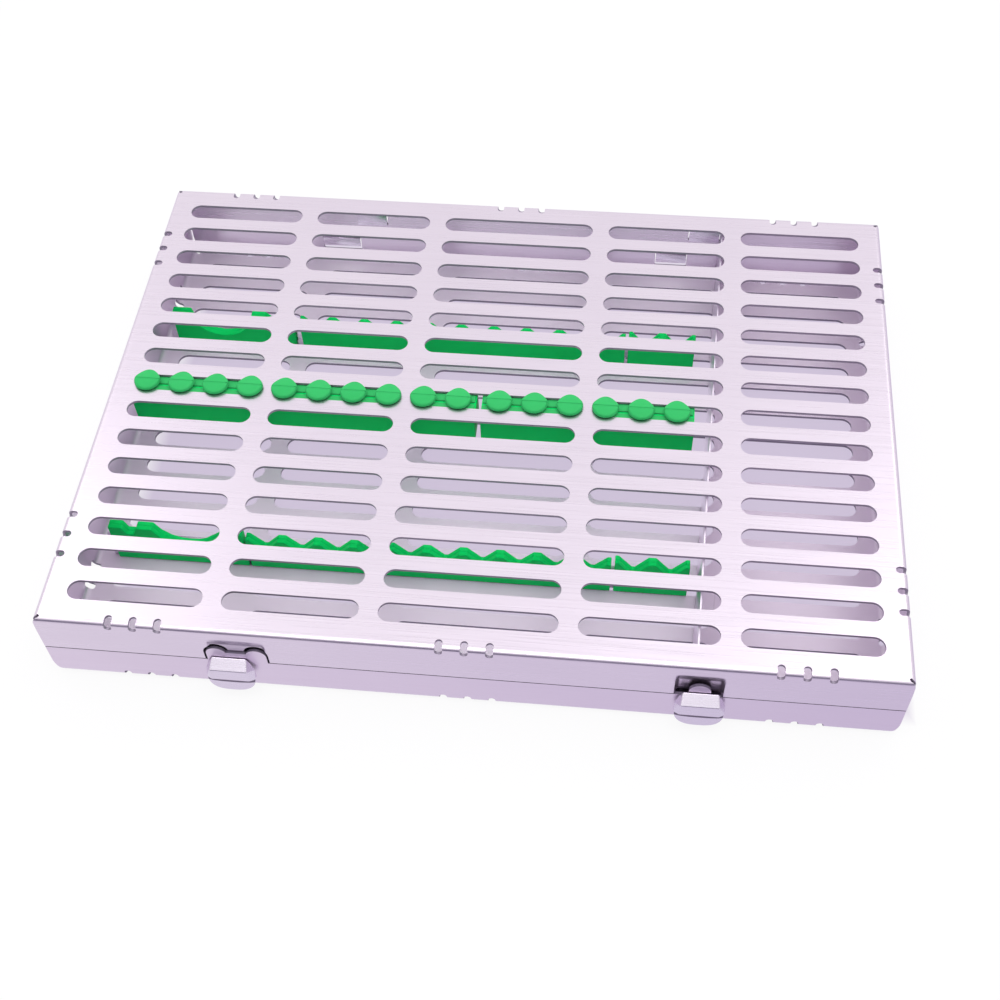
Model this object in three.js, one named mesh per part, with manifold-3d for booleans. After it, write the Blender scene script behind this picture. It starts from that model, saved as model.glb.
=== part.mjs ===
// Dental instrument cassette: a perforated stainless tray and lid, hinged at the back and latched at
// the front, with green silicone racks on the floor and a studded hold-down bar under the lid.
// Millimetres, +Z up, front at -Y. The origin is the middle of the footprint, on the bench.

import * as THREE from 'three';
import { mergeGeometries, mergeVertices } from 'three/addons/utils/BufferGeometryUtils.js';
import { ConvexGeometry } from 'three/addons/geometries/ConvexGeometry.js';
import Module from 'manifold-3d';

const wasm = await Module();
wasm.setup();

// Shells
const cassette_width = 280;
const cassette_depth = 205;
const tray_height = 16.5;
const lid_height = 16.6;
const seam_gap = 0.3;
const sheet = 1.0;
const lid_fold_radius = 1.8;
const tray_fold_radius = 3.5;
const corner_relief_radius = 1.1;
const corner_relief_depth = 2.2;
const corner_seam = 0.7;

// Slots, alike in the lid and in the tray floor
const slot_rows = 15;
const slot_pitch = 12.85;
const slot_width = 7.2;
const slot_length = 45;
const middle_slot_length = 58;
const slot_gap = 6.2;

// Notches cut across the folds, in groups of three
const notch_width = 2.5;
const notch_pitch = 8.1;
const notch_inward = 3.8;
const notch_height = 3.0;
const notch_group_x = 107;
const notch_group_y = 68.4;
const notches_per_group = 3;

// Silicone strips, one cell for each instrument
const cell = 12.7;
const end_cells = 2;
const lid_cell = 12.6;
const lid_right_cells = 6;
const strip_joint = 1.2;
const lid_strip_joint = 2.0;
const strip_divider_gap = 5.4;
const lid_strip_divider_gap = 6.1;
const lid_strip_wall_gap = 1.0;

// Racks on the tray floor
const front_rack_y = -53.6;
const back_rack_y = 50.3;
const rack_thickness = 3.6;
const rack_height = 16.0;
const rack_notch_depth = 5.2;
const rack_peak_flat = 2.6;
const rack_valley_flat = 1.0;
const end_strip_rise = 1.4;
const end_strip_notch_depth = 6.0;
const front_holder_joint = 0.8;
const front_holder_rise = 2.4;
const front_holder_block = 4.8;
const front_holder_slit_width = 5.3;
const front_holder_slit_floor = 2.6;
const front_holder_slit_depth = 3.5;
const front_holder_second_block = 5.5;
const front_scoop_width = 26;
const front_scoop_depth = 8.5;
const front_holder_end_block = 5.9;
const back_holder_joint = 2.6;
const back_holder_rise = 1.0;
const back_holder_block = 7.2;
const back_scoop_width = 24.4;
const back_scoop_depth = 11.0;
const back_holder_second_block = 5.3;
const back_shelf_slope = 4.6;
const back_shelf_drop = 4.6;
const back_shelf_length = 6.5;
const rack_floor_clearance = 0.2;

// Rails that carry the racks
const rail_web = 1.0;
const rail_web_height = 4.0;
const rail_foot = 8.5;
const rail_foot_thickness = 0.8;
const rail_clearance = 0.3;
const front_rail_reach = 1.9;
const back_rail_reach = 2.8;
const rail_tab_height = 12.5;
const rail_tab_least = 1.6;

// Hold-down strips under the lid
const bar_width = 13;
const bar_height = 13.2;
const bar_tooth_depth = 2.2;
const bar_tooth_flat = 2.6;
const stud_stem_radius = 2.2;
const stud_head_radius = 4.75;
const stud_head_edge = 1.0;
const stud_head_height = 2.2;
const stud_shoulder_share = 0.8;
const stud_shoulder_height_share = 0.85;
const stud_clearance = 0.15;

// Divider of the right-hand compartment, which stands a little askew
const compartment_width = 63.5;
const divider_thickness = 0.8;
const divider_top = 30.2;
const divider_turn_share = 1.85 / 180;
const divider_front_gap = 3.0;
const divider_back_gap = 1.7;
const divider_corner = 4.0;
const divider_foot_length = 14;
const divider_foot_width = 6;
const divider_foot_y = 58;
const divider_clearance = 0.3;

// Hinges: straps that wrap a pin outside, pass in through a window and lie against the inside
const hinge_side_distance = 73;
const hinge_offset = 2.2;
const knuckle_radius = 2.0;
const knuckle_bore = 1.05;
const hinge_pin_radius = 0.9;
const left_tray_strap_length = 15.3;
const right_tray_strap_length = 12.2;
const lid_strap_length = 11.9;
const knuckle_gap = 0.3;
const strap_thickness = 0.8;
const strap_reach = 4.9;
const strap_wall_gap = 0.2;
const strap_window_clearance = 0.3;
const tray_window_reach = 11.0;
const tray_strap_end = 8.1;
const lid_window_reach = 9.6;
const lid_strap_end = 10.4;
const seat_gap = 0.05;

// Latches
const left_latch_x = -77.7;
const right_latch_x = 75.5;
const latch_axis_out = 1.95;
const latch_axis_z = 14.0;
const latch_sheet = 0.7;
const latch_back_out = 0.7;
const latch_cheek_out = 1.2;
const latch_cheek_low_out = 2.9;
const latch_face_out = 4.2;
const latch_top_z = 18.6;
const latch_shoulder_z = 16.4;
const latch_bend_z = 16.5;
const latch_cheek_z = 13.6;
const latch_cheek_low_z = 9.9;
const latch_face_low_z = 10.6;
const latch_top_half = 5.7;
const latch_shoulder_half = 6.9;
const latch_bend_half = 6.2;
const latch_face_half = 6.4;
const latch_cheek_half = 8.2;
const latch_lip_root_half = 6.0;
const latch_lip_root_rise = 1.7;
const latch_lip_top_z = 9.9;
const latch_lip_low_z = 4.8;
const latch_lip_top_out = 3.4;
const latch_lip_low_out = 4.15;
const latch_lip_half = 7.9;
const latch_lip_power = 2.6;
const latch_pin_radius = 0.6;
const latch_pin_clearance = 0.15;
const latch_pin_half = 7.3;
const bracket_half = 5.6;
const bracket_sheet = 0.5;
const bracket_low_z = 9.8;
const lug_x = 4.6;
const lug_thickness = 0.8;
const lug_radius = 1.4;
const spring_turns = 5;
const spring_pitch = 1.0;
const spring_radius = 1.0;
const spring_wire_radius = 0.25;
const spring_wall_leg = 2.8;
const spring_latch_leg = 0.9;
const spring_steps_per_turn = 8;
const spring_sides = 5;

// Left latch: two ears of the tray stand in arches of the lid, with a bridge between them
const ears_x = -75;
const ear_width = 6.8;
const ear_spacing = 13.2;
const ear_rise = 7.1;
const ear_bridge_rise = 4.7;
const arch_side_clearance = 1.1;
const arch_top_clearance = 1.9;
const bridge_clearance = 0.4;

// Right latch: one tongue of the tray stands in a pocket that is pressed into the lid's skirt
const tongue_x = 75.1;
const tongue_width = 7.0;
const tongue_rise = 6.1;
const pocket_x = 74.7;
const pocket_width = 15.9;
const pocket_rise = 12.2;
const pocket_slope = 5.5;
const pocket_depth = 2.0;

// The front scoop, steep on its left and gentle on its right: shares of its width and of its depth
const front_scoop_shares = [
  [0, 0], [0.08, 0.45], [0.2, 0.79], [0.33, 0.96], [0.46, 1],
  [0.59, 0.97], [0.67, 0.87], [0.82, 0.51], [0.88, 0.36], [1, 0],
];

// How far a cutter runs past the face that it cuts
const overrun = 2;

// Half the number of segments in a half circle of an outline
const slot_segments = 2;
const arc_segments = 4;

// Segments of the folds, of round bars and of the scoops
const fold_segments = 3;
const round_segments = 12;
const scoop_segments = 10;
const lip_segments = 12;

// Levels and places that follow from the sizes
const half_width = cassette_width / 2;
const half_depth = cassette_depth / 2;
const lid_low = tray_height + seam_gap;
const lid_top = lid_low + lid_height;
const lid_underside = lid_top - sheet;
const hinge_x = half_width - hinge_side_distance;
const hinge_z = tray_height + seam_gap / 2;
const hinge_y = half_depth + hinge_offset;
const hinge_reach = hinge_offset + knuckle_radius;
const lip_lean = Math.atan2(latch_lip_low_out - latch_lip_top_out, latch_lip_top_z - latch_lip_low_z);
const latch_reach = latch_lip_low_out + (latch_sheet / 2) * Math.cos(lip_lean);
const rack_top = sheet + rack_height;
const divider_x = half_width - compartment_width;
const strip_end_x = divider_x - strip_divider_gap;
const end_strip_x = strip_end_x - end_cells * cell;
const notched_end_x = end_strip_x - strip_joint;
const front_holder_length = front_holder_block + front_holder_slit_width + front_holder_second_block
  + front_scoop_width + front_holder_end_block;
const back_holder_length = back_holder_block + back_scoop_width + back_holder_second_block
  + back_shelf_slope + back_shelf_length;
const rack_room = notched_end_x + half_width - tray_fold_radius - Math.max(
  front_holder_joint + front_holder_length + front_rail_reach,
  back_holder_joint + back_holder_length + back_rail_reach);
const notched_cells = Math.floor(rack_room / cell);
const notched_start_x = notched_end_x - notched_cells * cell;
const bar_top = lid_underside - stud_clearance;
const bar_low = bar_top - bar_height;
const lid_right_start_x = divider_x - lid_strip_divider_gap - lid_right_cells * lid_cell;
const lid_left_end_x = lid_right_start_x - lid_strip_joint;
const lid_left_room = lid_left_end_x + half_width - sheet - lid_strip_wall_gap;
const lid_left_cells = Math.floor(lid_left_room / lid_cell);

// Solids and geometry

function to_solid(geometry) {
  geometry.deleteAttribute('normal');
  geometry.deleteAttribute('uv');
  const merged = mergeVertices(geometry);
  return new wasm.Manifold(new wasm.Mesh({
    numProp: 3,
    vertProperties: new Float32Array(merged.attributes.position.array),
    triVerts: new Uint32Array(merged.index.array),
  }));
}

function to_geometry(solid) {
  const mesh = solid.getMesh();
  const indexed = new THREE.BufferGeometry();
  indexed.setAttribute('position', new THREE.BufferAttribute(mesh.vertProperties, 3));
  indexed.setIndex(new THREE.BufferAttribute(mesh.triVerts, 1));
  const geometry = indexed.toNonIndexed();
  geometry.computeVertexNormals();
  return geometry;
}

function block(low, high) {
  const geometry = new THREE.BoxGeometry(high[0] - low[0], high[1] - low[1], high[2] - low[2]);
  geometry.translate((low[0] + high[0]) / 2, (low[1] + high[1]) / 2, (low[2] + high[2]) / 2);
  return to_solid(geometry);
}

function extruded(shape, depth, segments) {
  return new THREE.ExtrudeGeometry(shape, { depth, bevelEnabled: false, curveSegments: segments });
}

// An outline in x and y, standing from z0 to z1
function upright(shape, z0, z1, segments) {
  return extruded(shape, z1 - z0, segments).translate(0, 0, z0);
}

// An outline in x and z, running along y
function along_y(shape, y0, y1, segments = arc_segments) {
  return to_solid(extruded(shape, y1 - y0, segments).rotateX(Math.PI / 2).translate(0, y1, 0));
}

// An outline in y and z, running along x
function along_x(shape, x0, x1, segments = arc_segments) {
  const geometry = extruded(shape, x1 - x0, segments).rotateX(Math.PI / 2).rotateZ(Math.PI / 2);
  return to_solid(geometry.translate(x0, 0, 0));
}

function rod(x0, x1, radius, y, z, segments = round_segments) {
  const geometry = new THREE.CylinderGeometry(radius, radius, x1 - x0, segments);
  return to_solid(geometry.rotateZ(Math.PI / 2).translate((x0 + x1) / 2, y, z));
}

function hull(points) {
  return to_solid(new ConvexGeometry(points.map((point) => new THREE.Vector3(...point))));
}

// Folded pans

// Half outline of a pan's cross-section: straight sides and a plate with rounded folds
function pan_section(half, plate_z, rim_z, radius) {
  const inward = Math.sign(rim_z - plate_z);
  const side = [];
  for (let i = 0; i <= fold_segments; i += 1) {
    const turn = (i / fold_segments) * Math.PI / 2;
    const x = half - radius + radius * Math.cos(turn);
    const z = plate_z + inward * (radius - radius * Math.sin(turn));
    side.push(new THREE.Vector2(x, z));
  }
  const mirrored = side.map((point) => new THREE.Vector2(-point.x, point.y)).reverse();
  const rim = [new THREE.Vector2(-half, rim_z), new THREE.Vector2(half, rim_z)];
  return new THREE.Shape([...side, ...mirrored, ...rim]);
}

function pan_block(inset, plate_z, rim_z, radius) {
  const across = pan_section(half_width - inset, plate_z, rim_z, radius);
  const along = pan_section(half_depth - inset, plate_z, rim_z, radius);
  const lengthwise = along_y(across, -half_depth, half_depth);
  const crosswise = along_x(along, -half_width, half_width);
  return lengthwise.intersect(crosswise);
}

function pan(plate_z, rim_z, radius) {
  const inward = Math.sign(rim_z - plate_z);
  const outer = pan_block(0, plate_z, rim_z, radius);
  const inner = pan_block(sheet, plate_z + inward * sheet, rim_z + inward * overrun, radius - sheet);
  return outer.subtract(inner);
}

function slot_outline(x0, x1, y) {
  const radius = slot_width / 2;
  const shape = new THREE.Shape();
  shape.absarc(x1 - radius, y, radius, -Math.PI / 2, Math.PI / 2, false);
  shape.absarc(x0 + radius, y, radius, Math.PI / 2, Math.PI * 1.5, false);
  return shape;
}

function slot_columns() {
  const lengths = [slot_length, slot_length, middle_slot_length, slot_length, slot_length];
  const total = lengths.reduce((sum, length) => sum + length) + slot_gap * (lengths.length - 1);
  const columns = [];
  let x = -total / 2;
  for (const length of lengths) {
    columns.push([x, x + length]);
    x += length + slot_gap;
  }
  return columns;
}

function slot_cutters(z0, z1) {
  const cutters = [];
  for (let row = 0; row < slot_rows; row += 1) {
    const y = (row - (slot_rows - 1) / 2) * slot_pitch;
    for (const [x0, x1] of slot_columns()) {
      cutters.push(upright(slot_outline(x0, x1, y), z0, z1, slot_segments));
    }
  }
  return to_solid(mergeGeometries(cutters));
}

// One notch, drawn at the front edge, pointing inwards
function notch_outline() {
  const radius = notch_width / 2;
  const shape = new THREE.Shape();
  shape.moveTo(-radius, -overrun);
  shape.lineTo(radius, -overrun);
  shape.absarc(0, notch_inward - radius, radius, 0, Math.PI, false);
  return shape;
}

function notch_cutters(plate_z, rim_z) {
  const inward = Math.sign(rim_z - plate_z);
  const levels = [plate_z - inward * overrun, plate_z + inward * notch_height].sort((a, b) => a - b);
  const cutters = [];
  const place = (x, y, turn) => {
    const cutter = upright(notch_outline(), levels[0], levels[1], slot_segments);
    cutters.push(cutter.rotateZ(turn).translate(x, y, 0));
  };
  for (let i = 0; i < notches_per_group; i += 1) {
    const step = (i - (notches_per_group - 1) / 2) * notch_pitch;
    for (const x of [-notch_group_x, 0, notch_group_x]) {
      place(x + step, -half_depth, 0);
      place(x + step, half_depth, Math.PI);
    }
    for (const y of [-notch_group_y, notch_group_y]) {
      place(half_width, y + step, Math.PI / 2);
      place(-half_width, y + step, -Math.PI / 2);
    }
  }
  return to_solid(mergeGeometries(cutters));
}

function corner_cutters(plate_z, rim_z) {
  const inward = Math.sign(rim_z - plate_z);
  const height = corner_relief_depth + overrun;
  const z = plate_z + inward * (corner_relief_depth - height / 2);
  const cutters = [];
  for (const sx of [-1, 1]) {
    for (const sy of [-1, 1]) {
      const pin = new THREE.CylinderGeometry(
        corner_relief_radius, corner_relief_radius, height, round_segments);
      pin.rotateX(Math.PI / 2).translate(sx * (half_width - sheet), sy * (half_depth - sheet), z);
      cutters.push(pin);
    }
  }
  return to_solid(mergeGeometries(cutters));
}

function perforated_pan(plate_z, rim_z, radius) {
  const inward = Math.sign(rim_z - plate_z);
  const levels = [plate_z - inward * overrun, plate_z + inward * overrun].sort((a, b) => a - b);
  return pan(plate_z, rim_z, radius)
    .subtract(slot_cutters(levels[0], levels[1]))
    .subtract(notch_cutters(plate_z, rim_z))
    .subtract(corner_cutters(plate_z, rim_z));
}

// A tab with a round top, in x and z
function tab_outline(x, width, low_z, high_z) {
  const radius = width / 2;
  const shape = new THREE.Shape();
  shape.moveTo(x - radius, low_z);
  shape.lineTo(x + radius, low_z);
  shape.absarc(x, high_z - radius, radius, 0, Math.PI, false);
  return shape;
}

function front_wall_tab(x, width, low_z, high_z, extra) {
  return along_y(tab_outline(x, width, low_z, high_z), -half_depth - extra, -half_depth + sheet + extra);
}

// Tray

function ear_places() {
  return [ears_x - ear_spacing / 2, ears_x + ear_spacing / 2];
}

// Both hinges: the pin's middle gap, and the lengths of the straps on its two sides
function hinges() {
  return [
    { side: 'left', x: -hinge_x, tray_length: left_tray_strap_length },
    { side: 'right', x: hinge_x, tray_length: right_tray_strap_length },
  ];
}

// A window in a back wall, from the strap's bend to a reach from the hinge axis
function strap_window(x0, x1, near, far) {
  const levels = [hinge_z + near, hinge_z + far].sort((a, b) => a - b);
  return block(
    [x0 - strap_window_clearance, half_depth - sheet - overrun, levels[0]],
    [x1 + strap_window_clearance, half_depth + overrun, levels[1]]);
}

function tray_shell() {
  let shell = perforated_pan(0, tray_height, tray_fold_radius);
  const root_z = tray_height - sheet;
  for (const x of ear_places()) {
    shell = shell.add(front_wall_tab(x, ear_width, root_z, tray_height + ear_rise, 0));
  }
  const [left_ear, right_ear] = ear_places();
  shell = shell.add(block(
    [left_ear, -half_depth, root_z],
    [right_ear, -half_depth + sheet, tray_height + ear_bridge_rise]));
  shell = shell.add(front_wall_tab(tongue_x, tongue_width, root_z, tray_height + tongue_rise, 0));
  const near = -(strap_reach - strap_thickness - strap_window_clearance);
  for (const { x, tray_length } of hinges()) {
    shell = shell.subtract(strap_window(
      x - knuckle_gap / 2 - tray_length, x - knuckle_gap / 2, near, -tray_window_reach));
  }
  const corner_x = half_width - sheet;
  for (const [x0, x1] of [[-corner_x, corner_seam - corner_x], [corner_x - corner_seam, corner_x]]) {
    shell = shell.subtract(block(
      [x0, half_depth - sheet - overrun, tray_fold_radius],
      [x1, half_depth + overrun, tray_height + overrun]));
  }
  return shell;
}

function divider() {
  const front = -half_depth + sheet + divider_front_gap;
  const back = half_depth - sheet - divider_back_gap;
  const low = sheet + divider_clearance;
  const outline = new THREE.Shape([
    new THREE.Vector2(front + divider_corner, low),
    new THREE.Vector2(back - divider_corner, low),
    new THREE.Vector2(back, low + divider_corner),
    new THREE.Vector2(back, divider_top),
    new THREE.Vector2(front, divider_top),
    new THREE.Vector2(front, low + divider_corner),
  ]);
  let plate = along_x(outline, -divider_thickness / 2, divider_thickness / 2);
  for (const y of [-divider_foot_y, divider_foot_y]) {
    plate = plate.add(block(
      [-divider_thickness / 2, y - divider_foot_length / 2, low],
      [divider_foot_width, y + divider_foot_length / 2, low + divider_thickness]));
  }
  return plate;
}

// Racks

function comb_outline(x0, cells, top, depth, low) {
  const points = [new THREE.Vector2(x0, low), new THREE.Vector2(x0, top)];
  for (let i = 0; i < cells; i += 1) {
    const left = x0 + i * cell;
    const middle = left + cell / 2;
    points.push(new THREE.Vector2(left + rack_peak_flat / 2, top));
    points.push(new THREE.Vector2(middle - rack_valley_flat / 2, top - depth));
    points.push(new THREE.Vector2(middle + rack_valley_flat / 2, top - depth));
    points.push(new THREE.Vector2(left + cell - rack_peak_flat / 2, top));
  }
  const x1 = x0 + cells * cell;
  points.push(new THREE.Vector2(x1, top), new THREE.Vector2(x1, low));
  return points;
}

// Points of the front scoop that starts at x0 on the top edge
function front_scoop_points(x0, top) {
  return front_scoop_shares.map(([across, down]) => new THREE.Vector2(
    x0 + across * front_scoop_width, top - down * front_scoop_depth));
}

// Points of a round scoop that starts at x0 on the top edge
function scoop_points(x0, width, depth, top) {
  const radius = (width * width / 4 + depth * depth) / (2 * depth);
  const half_turn = Math.asin(Math.min(1, width / 2 / radius));
  const sweep = depth > radius ? Math.PI - half_turn : half_turn;
  const points = [];
  for (let i = 0; i <= scoop_segments; i += 1) {
    const turn = -sweep + (2 * sweep * i) / scoop_segments;
    points.push(new THREE.Vector2(
      x0 + width / 2 + radius * Math.sin(turn), top - depth + radius - radius * Math.cos(turn)));
  }
  return points;
}

function front_holder_outline(x0, top, low) {
  const slit = x0 + front_holder_block;
  const slit_end = slit + front_holder_slit_width;
  const slit_slope = (front_holder_slit_width - front_holder_slit_floor) / 2;
  const scoop = slit_end + front_holder_second_block;
  const slit_low = top - front_holder_slit_depth;
  return [
    new THREE.Vector2(x0, low),
    new THREE.Vector2(x0, top),
    new THREE.Vector2(slit, top),
    new THREE.Vector2(slit + slit_slope, slit_low),
    new THREE.Vector2(slit_end - slit_slope, slit_low),
    new THREE.Vector2(slit_end, top),
    ...front_scoop_points(scoop, top),
    new THREE.Vector2(x0 + front_holder_length, top),
    new THREE.Vector2(x0 + front_holder_length, low),
  ];
}

function back_holder_outline(x0, top, low) {
  const scoop = x0 + back_holder_block;
  const shelf = scoop + back_scoop_width + back_holder_second_block;
  const shelf_z = top - back_shelf_drop;
  return [
    new THREE.Vector2(x0, low),
    new THREE.Vector2(x0, top),
    ...scoop_points(scoop, back_scoop_width, back_scoop_depth, top),
    new THREE.Vector2(shelf, top),
    new THREE.Vector2(shelf + back_shelf_slope, shelf_z),
    new THREE.Vector2(x0 + back_holder_length, shelf_z),
    new THREE.Vector2(x0 + back_holder_length, low),
  ];
}

// A strip stands on the floor, astride the rail's web, with its back half over the rail's foot
function rack_strip(points, y) {
  const half = rack_thickness / 2;
  const strip = along_y(new THREE.Shape(points), y - half, y + half);
  const half_groove = rail_web / 2 + rail_clearance;
  const groove = block(
    [-half_width, y - half_groove, -overrun],
    [half_width, y + half_groove, sheet + rail_web_height + rail_clearance]);
  const rebate = block(
    [-half_width, y - half_groove, -overrun],
    [half_width, y + half + overrun, sheet + rail_foot_thickness + rail_clearance]);
  return strip.subtract(groove).subtract(rebate);
}

// The rail's web stands up higher where no strip covers it
function rack_rail(holder_x, holder_end, reach, y) {
  const low = sheet + seat_gap;
  const start = holder_x - reach;
  const half_web = rail_web / 2;
  let rail = block([start, y - half_web, low], [strip_end_x, y + half_web, sheet + rail_web_height]);
  rail = rail.add(block(
    [start, y - half_web, low],
    [strip_end_x, y + rail_foot, low + rail_foot_thickness]));
  const bare = [[start, holder_x - rail_clearance]];
  if (notched_start_x - holder_end > 2 * rail_clearance + rail_tab_least) {
    bare.push([holder_end + rail_clearance, notched_start_x - rail_clearance]);
  }
  for (const [x0, x1] of bare) {
    rail = rail.add(block([x0, y - half_web, low], [x1, y + half_web, sheet + rail_tab_height]));
  }
  return rail;
}

// Hold-down bar

function stud(x) {
  const head_low = lid_top + stud_clearance - bar_top;
  const outline = [
    [0, -overrun],
    [stud_stem_radius, -overrun],
    [stud_stem_radius, head_low],
    [stud_head_radius, head_low],
    [stud_head_radius, head_low + stud_head_edge],
    [stud_head_radius * stud_shoulder_share, head_low + stud_head_height * stud_shoulder_height_share],
    [0, head_low + stud_head_height],
  ].map((point) => new THREE.Vector2(...point));
  const geometry = new THREE.LatheGeometry(outline, round_segments);
  return to_solid(geometry.rotateX(Math.PI / 2).translate(x, 0, bar_top));
}

function hold_down_strip(x0, cells) {
  const x1 = x0 + cells * lid_cell;
  const points = [new THREE.Vector2(x1, bar_top), new THREE.Vector2(x0, bar_top)];
  points.push(new THREE.Vector2(x0, bar_low));
  for (let i = 0; i < cells; i += 1) {
    const left = x0 + i * lid_cell;
    points.push(new THREE.Vector2(left + bar_tooth_flat / 2, bar_low));
    points.push(new THREE.Vector2(left + lid_cell / 2, bar_low + bar_tooth_depth));
    points.push(new THREE.Vector2(left + lid_cell - bar_tooth_flat / 2, bar_low));
  }
  points.push(new THREE.Vector2(x1, bar_low));
  let strip = along_y(new THREE.Shape(points), -bar_width / 2, bar_width / 2);
  for (let i = 0; i < cells; i += 1) {
    strip = strip.add(stud(x0 + i * lid_cell + lid_cell / 2));
  }
  return strip;
}

// Lid

function lid_shell() {
  let shell = perforated_pan(lid_top, lid_low, lid_fold_radius);
  for (const x of ear_places()) {
    const width = ear_width + 2 * arch_side_clearance;
    const high = tray_height + ear_rise + arch_top_clearance;
    shell = shell.subtract(front_wall_tab(x, width, tray_height, high, overrun));
  }
  const [left_ear, right_ear] = ear_places();
  shell = shell.subtract(block(
    [left_ear, -half_depth - overrun, tray_height],
    [right_ear, -half_depth + sheet + overrun, tray_height + ear_bridge_rise + bridge_clearance]));
  const near = strap_reach - strap_thickness - strap_window_clearance;
  for (const { x } of hinges()) {
    shell = shell.subtract(strap_window(
      x + knuckle_gap / 2, x + knuckle_gap / 2 + lid_strap_length, near, lid_window_reach));
  }
  return shell.add(pocket_walls()).subtract(pocket_hollow());
}

// Section of the pocket, in y and z: a slope inwards from the skirt, then straight down
function pocket_section(depth, top, slope_end, low, out) {
  const front = -half_depth;
  return new THREE.Shape([
    new THREE.Vector2(front - out, top),
    new THREE.Vector2(front, top),
    new THREE.Vector2(front + depth, slope_end),
    new THREE.Vector2(front + depth, low),
    new THREE.Vector2(front - out, low),
  ]);
}

function pocket_walls() {
  const top = tray_height + pocket_rise;
  const section = pocket_section(
    pocket_depth + sheet, top + sheet, top - pocket_slope + sheet / 2, lid_low, 0);
  const half = pocket_width / 2 + sheet;
  return along_x(section, pocket_x - half, pocket_x + half);
}

function pocket_hollow() {
  const top = tray_height + pocket_rise;
  const section = pocket_section(
    pocket_depth, top, top - pocket_slope, lid_low - overrun, overrun);
  return along_x(section, pocket_x - pocket_width / 2, pocket_x + pocket_width / 2);
}

// Hinges

// A strap with its knuckle, drawn towards the lid (up is 1) or towards the tray (up is -1)
function hinge_strap(x0, x1, up, end) {
  const outer_y = half_depth + strap_wall_gap;
  const inner_y = half_depth - sheet - strap_wall_gap;
  const level = (z0, z1) => [hinge_z + up * z0, hinge_z + up * z1].sort((a, b) => a - b);
  const outer_z = level(0, strap_reach);
  const bend_z = level(strap_reach - strap_thickness, strap_reach);
  const inner_z = level(strap_reach - strap_thickness, end);
  const bore = rod(x0 - overrun, x1 + overrun, knuckle_bore, hinge_y, hinge_z);
  return block([x0, outer_y, outer_z[0]], [x1, outer_y + strap_thickness, outer_z[1]])
    .add(block([x0, inner_y - strap_thickness, bend_z[0]], [x1, outer_y + strap_thickness, bend_z[1]]))
    .add(block([x0, inner_y - strap_thickness, inner_z[0]], [x1, inner_y, inner_z[1]]))
    .add(rod(x0, x1, knuckle_radius, hinge_y, hinge_z))
    .subtract(bore);
}

function hinge_pin({ x, tray_length }) {
  return rod(
    x - knuckle_gap / 2 - tray_length, x + knuckle_gap / 2 + lid_strap_length,
    hinge_pin_radius, hinge_y, hinge_z);
}

// Latches

// Corner points of the latch cover, given as distance out from the front wall
function cover_points(x, sheet_in) {
  const corners = [
    [latch_top_half, latch_back_out, latch_top_z],
    [latch_shoulder_half, latch_back_out, latch_shoulder_z],
    [latch_bend_half, latch_face_out, latch_bend_z],
    [latch_face_half, latch_face_out, latch_face_low_z],
    [latch_cheek_half, latch_cheek_out, latch_cheek_z],
    [latch_cheek_half, latch_cheek_low_out, latch_cheek_low_z],
    [latch_cheek_half, latch_cheek_out, latch_cheek_low_z],
  ];
  const points = [];
  for (const side of [-1, 1]) {
    for (const [half, out, z] of corners) {
      points.push([x + side * (half - sheet_in), -half_depth - out + sheet_in, z - sheet_in]);
    }
  }
  return points;
}

// Finger lip: a half-moon with a flattened edge, hung from its root and leaned outwards
function finger_lip(x) {
  const length = (latch_lip_top_z - latch_lip_low_z) / Math.cos(lip_lean);
  const points = [new THREE.Vector2(-latch_lip_root_half, latch_lip_root_rise)];
  for (let i = 0; i <= lip_segments; i += 1) {
    const turn = (i / lip_segments) * Math.PI;
    const across = Math.sign(Math.cos(turn)) * Math.abs(Math.cos(turn)) ** (2 / latch_lip_power);
    const down = Math.sin(turn) ** (2 / latch_lip_power);
    points.push(new THREE.Vector2(-latch_lip_half * across, -length * down));
  }
  points.push(new THREE.Vector2(latch_lip_root_half, latch_lip_root_rise));
  const geometry = extruded(new THREE.Shape(points), latch_sheet, arc_segments);
  geometry.translate(0, 0, -latch_sheet / 2).rotateX(Math.PI / 2 - lip_lean);
  return to_solid(geometry.translate(x, -half_depth - latch_lip_top_out, latch_lip_top_z));
}

function latch_plate(x) {
  const cover = hull(cover_points(x, 0)).subtract(hull(cover_points(x, latch_sheet)));
  const bore = latch_pin_radius + latch_pin_clearance;
  const axis_y = -half_depth - latch_axis_out;
  const hole = rod(x - half_width, x + half_width, bore, axis_y, latch_axis_z);
  return cover.subtract(hole).add(finger_lip(x));
}

function latch_pin(x) {
  const axis_y = -half_depth - latch_axis_out;
  return rod(x - latch_pin_half, x + latch_pin_half, latch_pin_radius, axis_y, latch_axis_z);
}

function latch_bracket(x) {
  const wall = -half_depth - seat_gap;
  const axis_y = -half_depth - latch_axis_out;
  let bracket = block(
    [x - bracket_half, wall - bracket_sheet, bracket_low_z],
    [x + bracket_half, wall, tray_height]);
  for (const side of [-1, 1]) {
    const x0 = x + side * lug_x - lug_thickness / 2;
    const x1 = x0 + lug_thickness;
    const web = block(
      [x0, axis_y, latch_axis_z - lug_radius],
      [x1, wall, latch_axis_z + lug_radius]);
    bracket = bracket.add(web).add(rod(x0, x1, lug_radius, axis_y, latch_axis_z));
  }
  const bore = rod(
    x - bracket_half, x + bracket_half, latch_pin_radius + latch_pin_clearance, axis_y, latch_axis_z);
  return bracket.subtract(bore);
}

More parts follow.
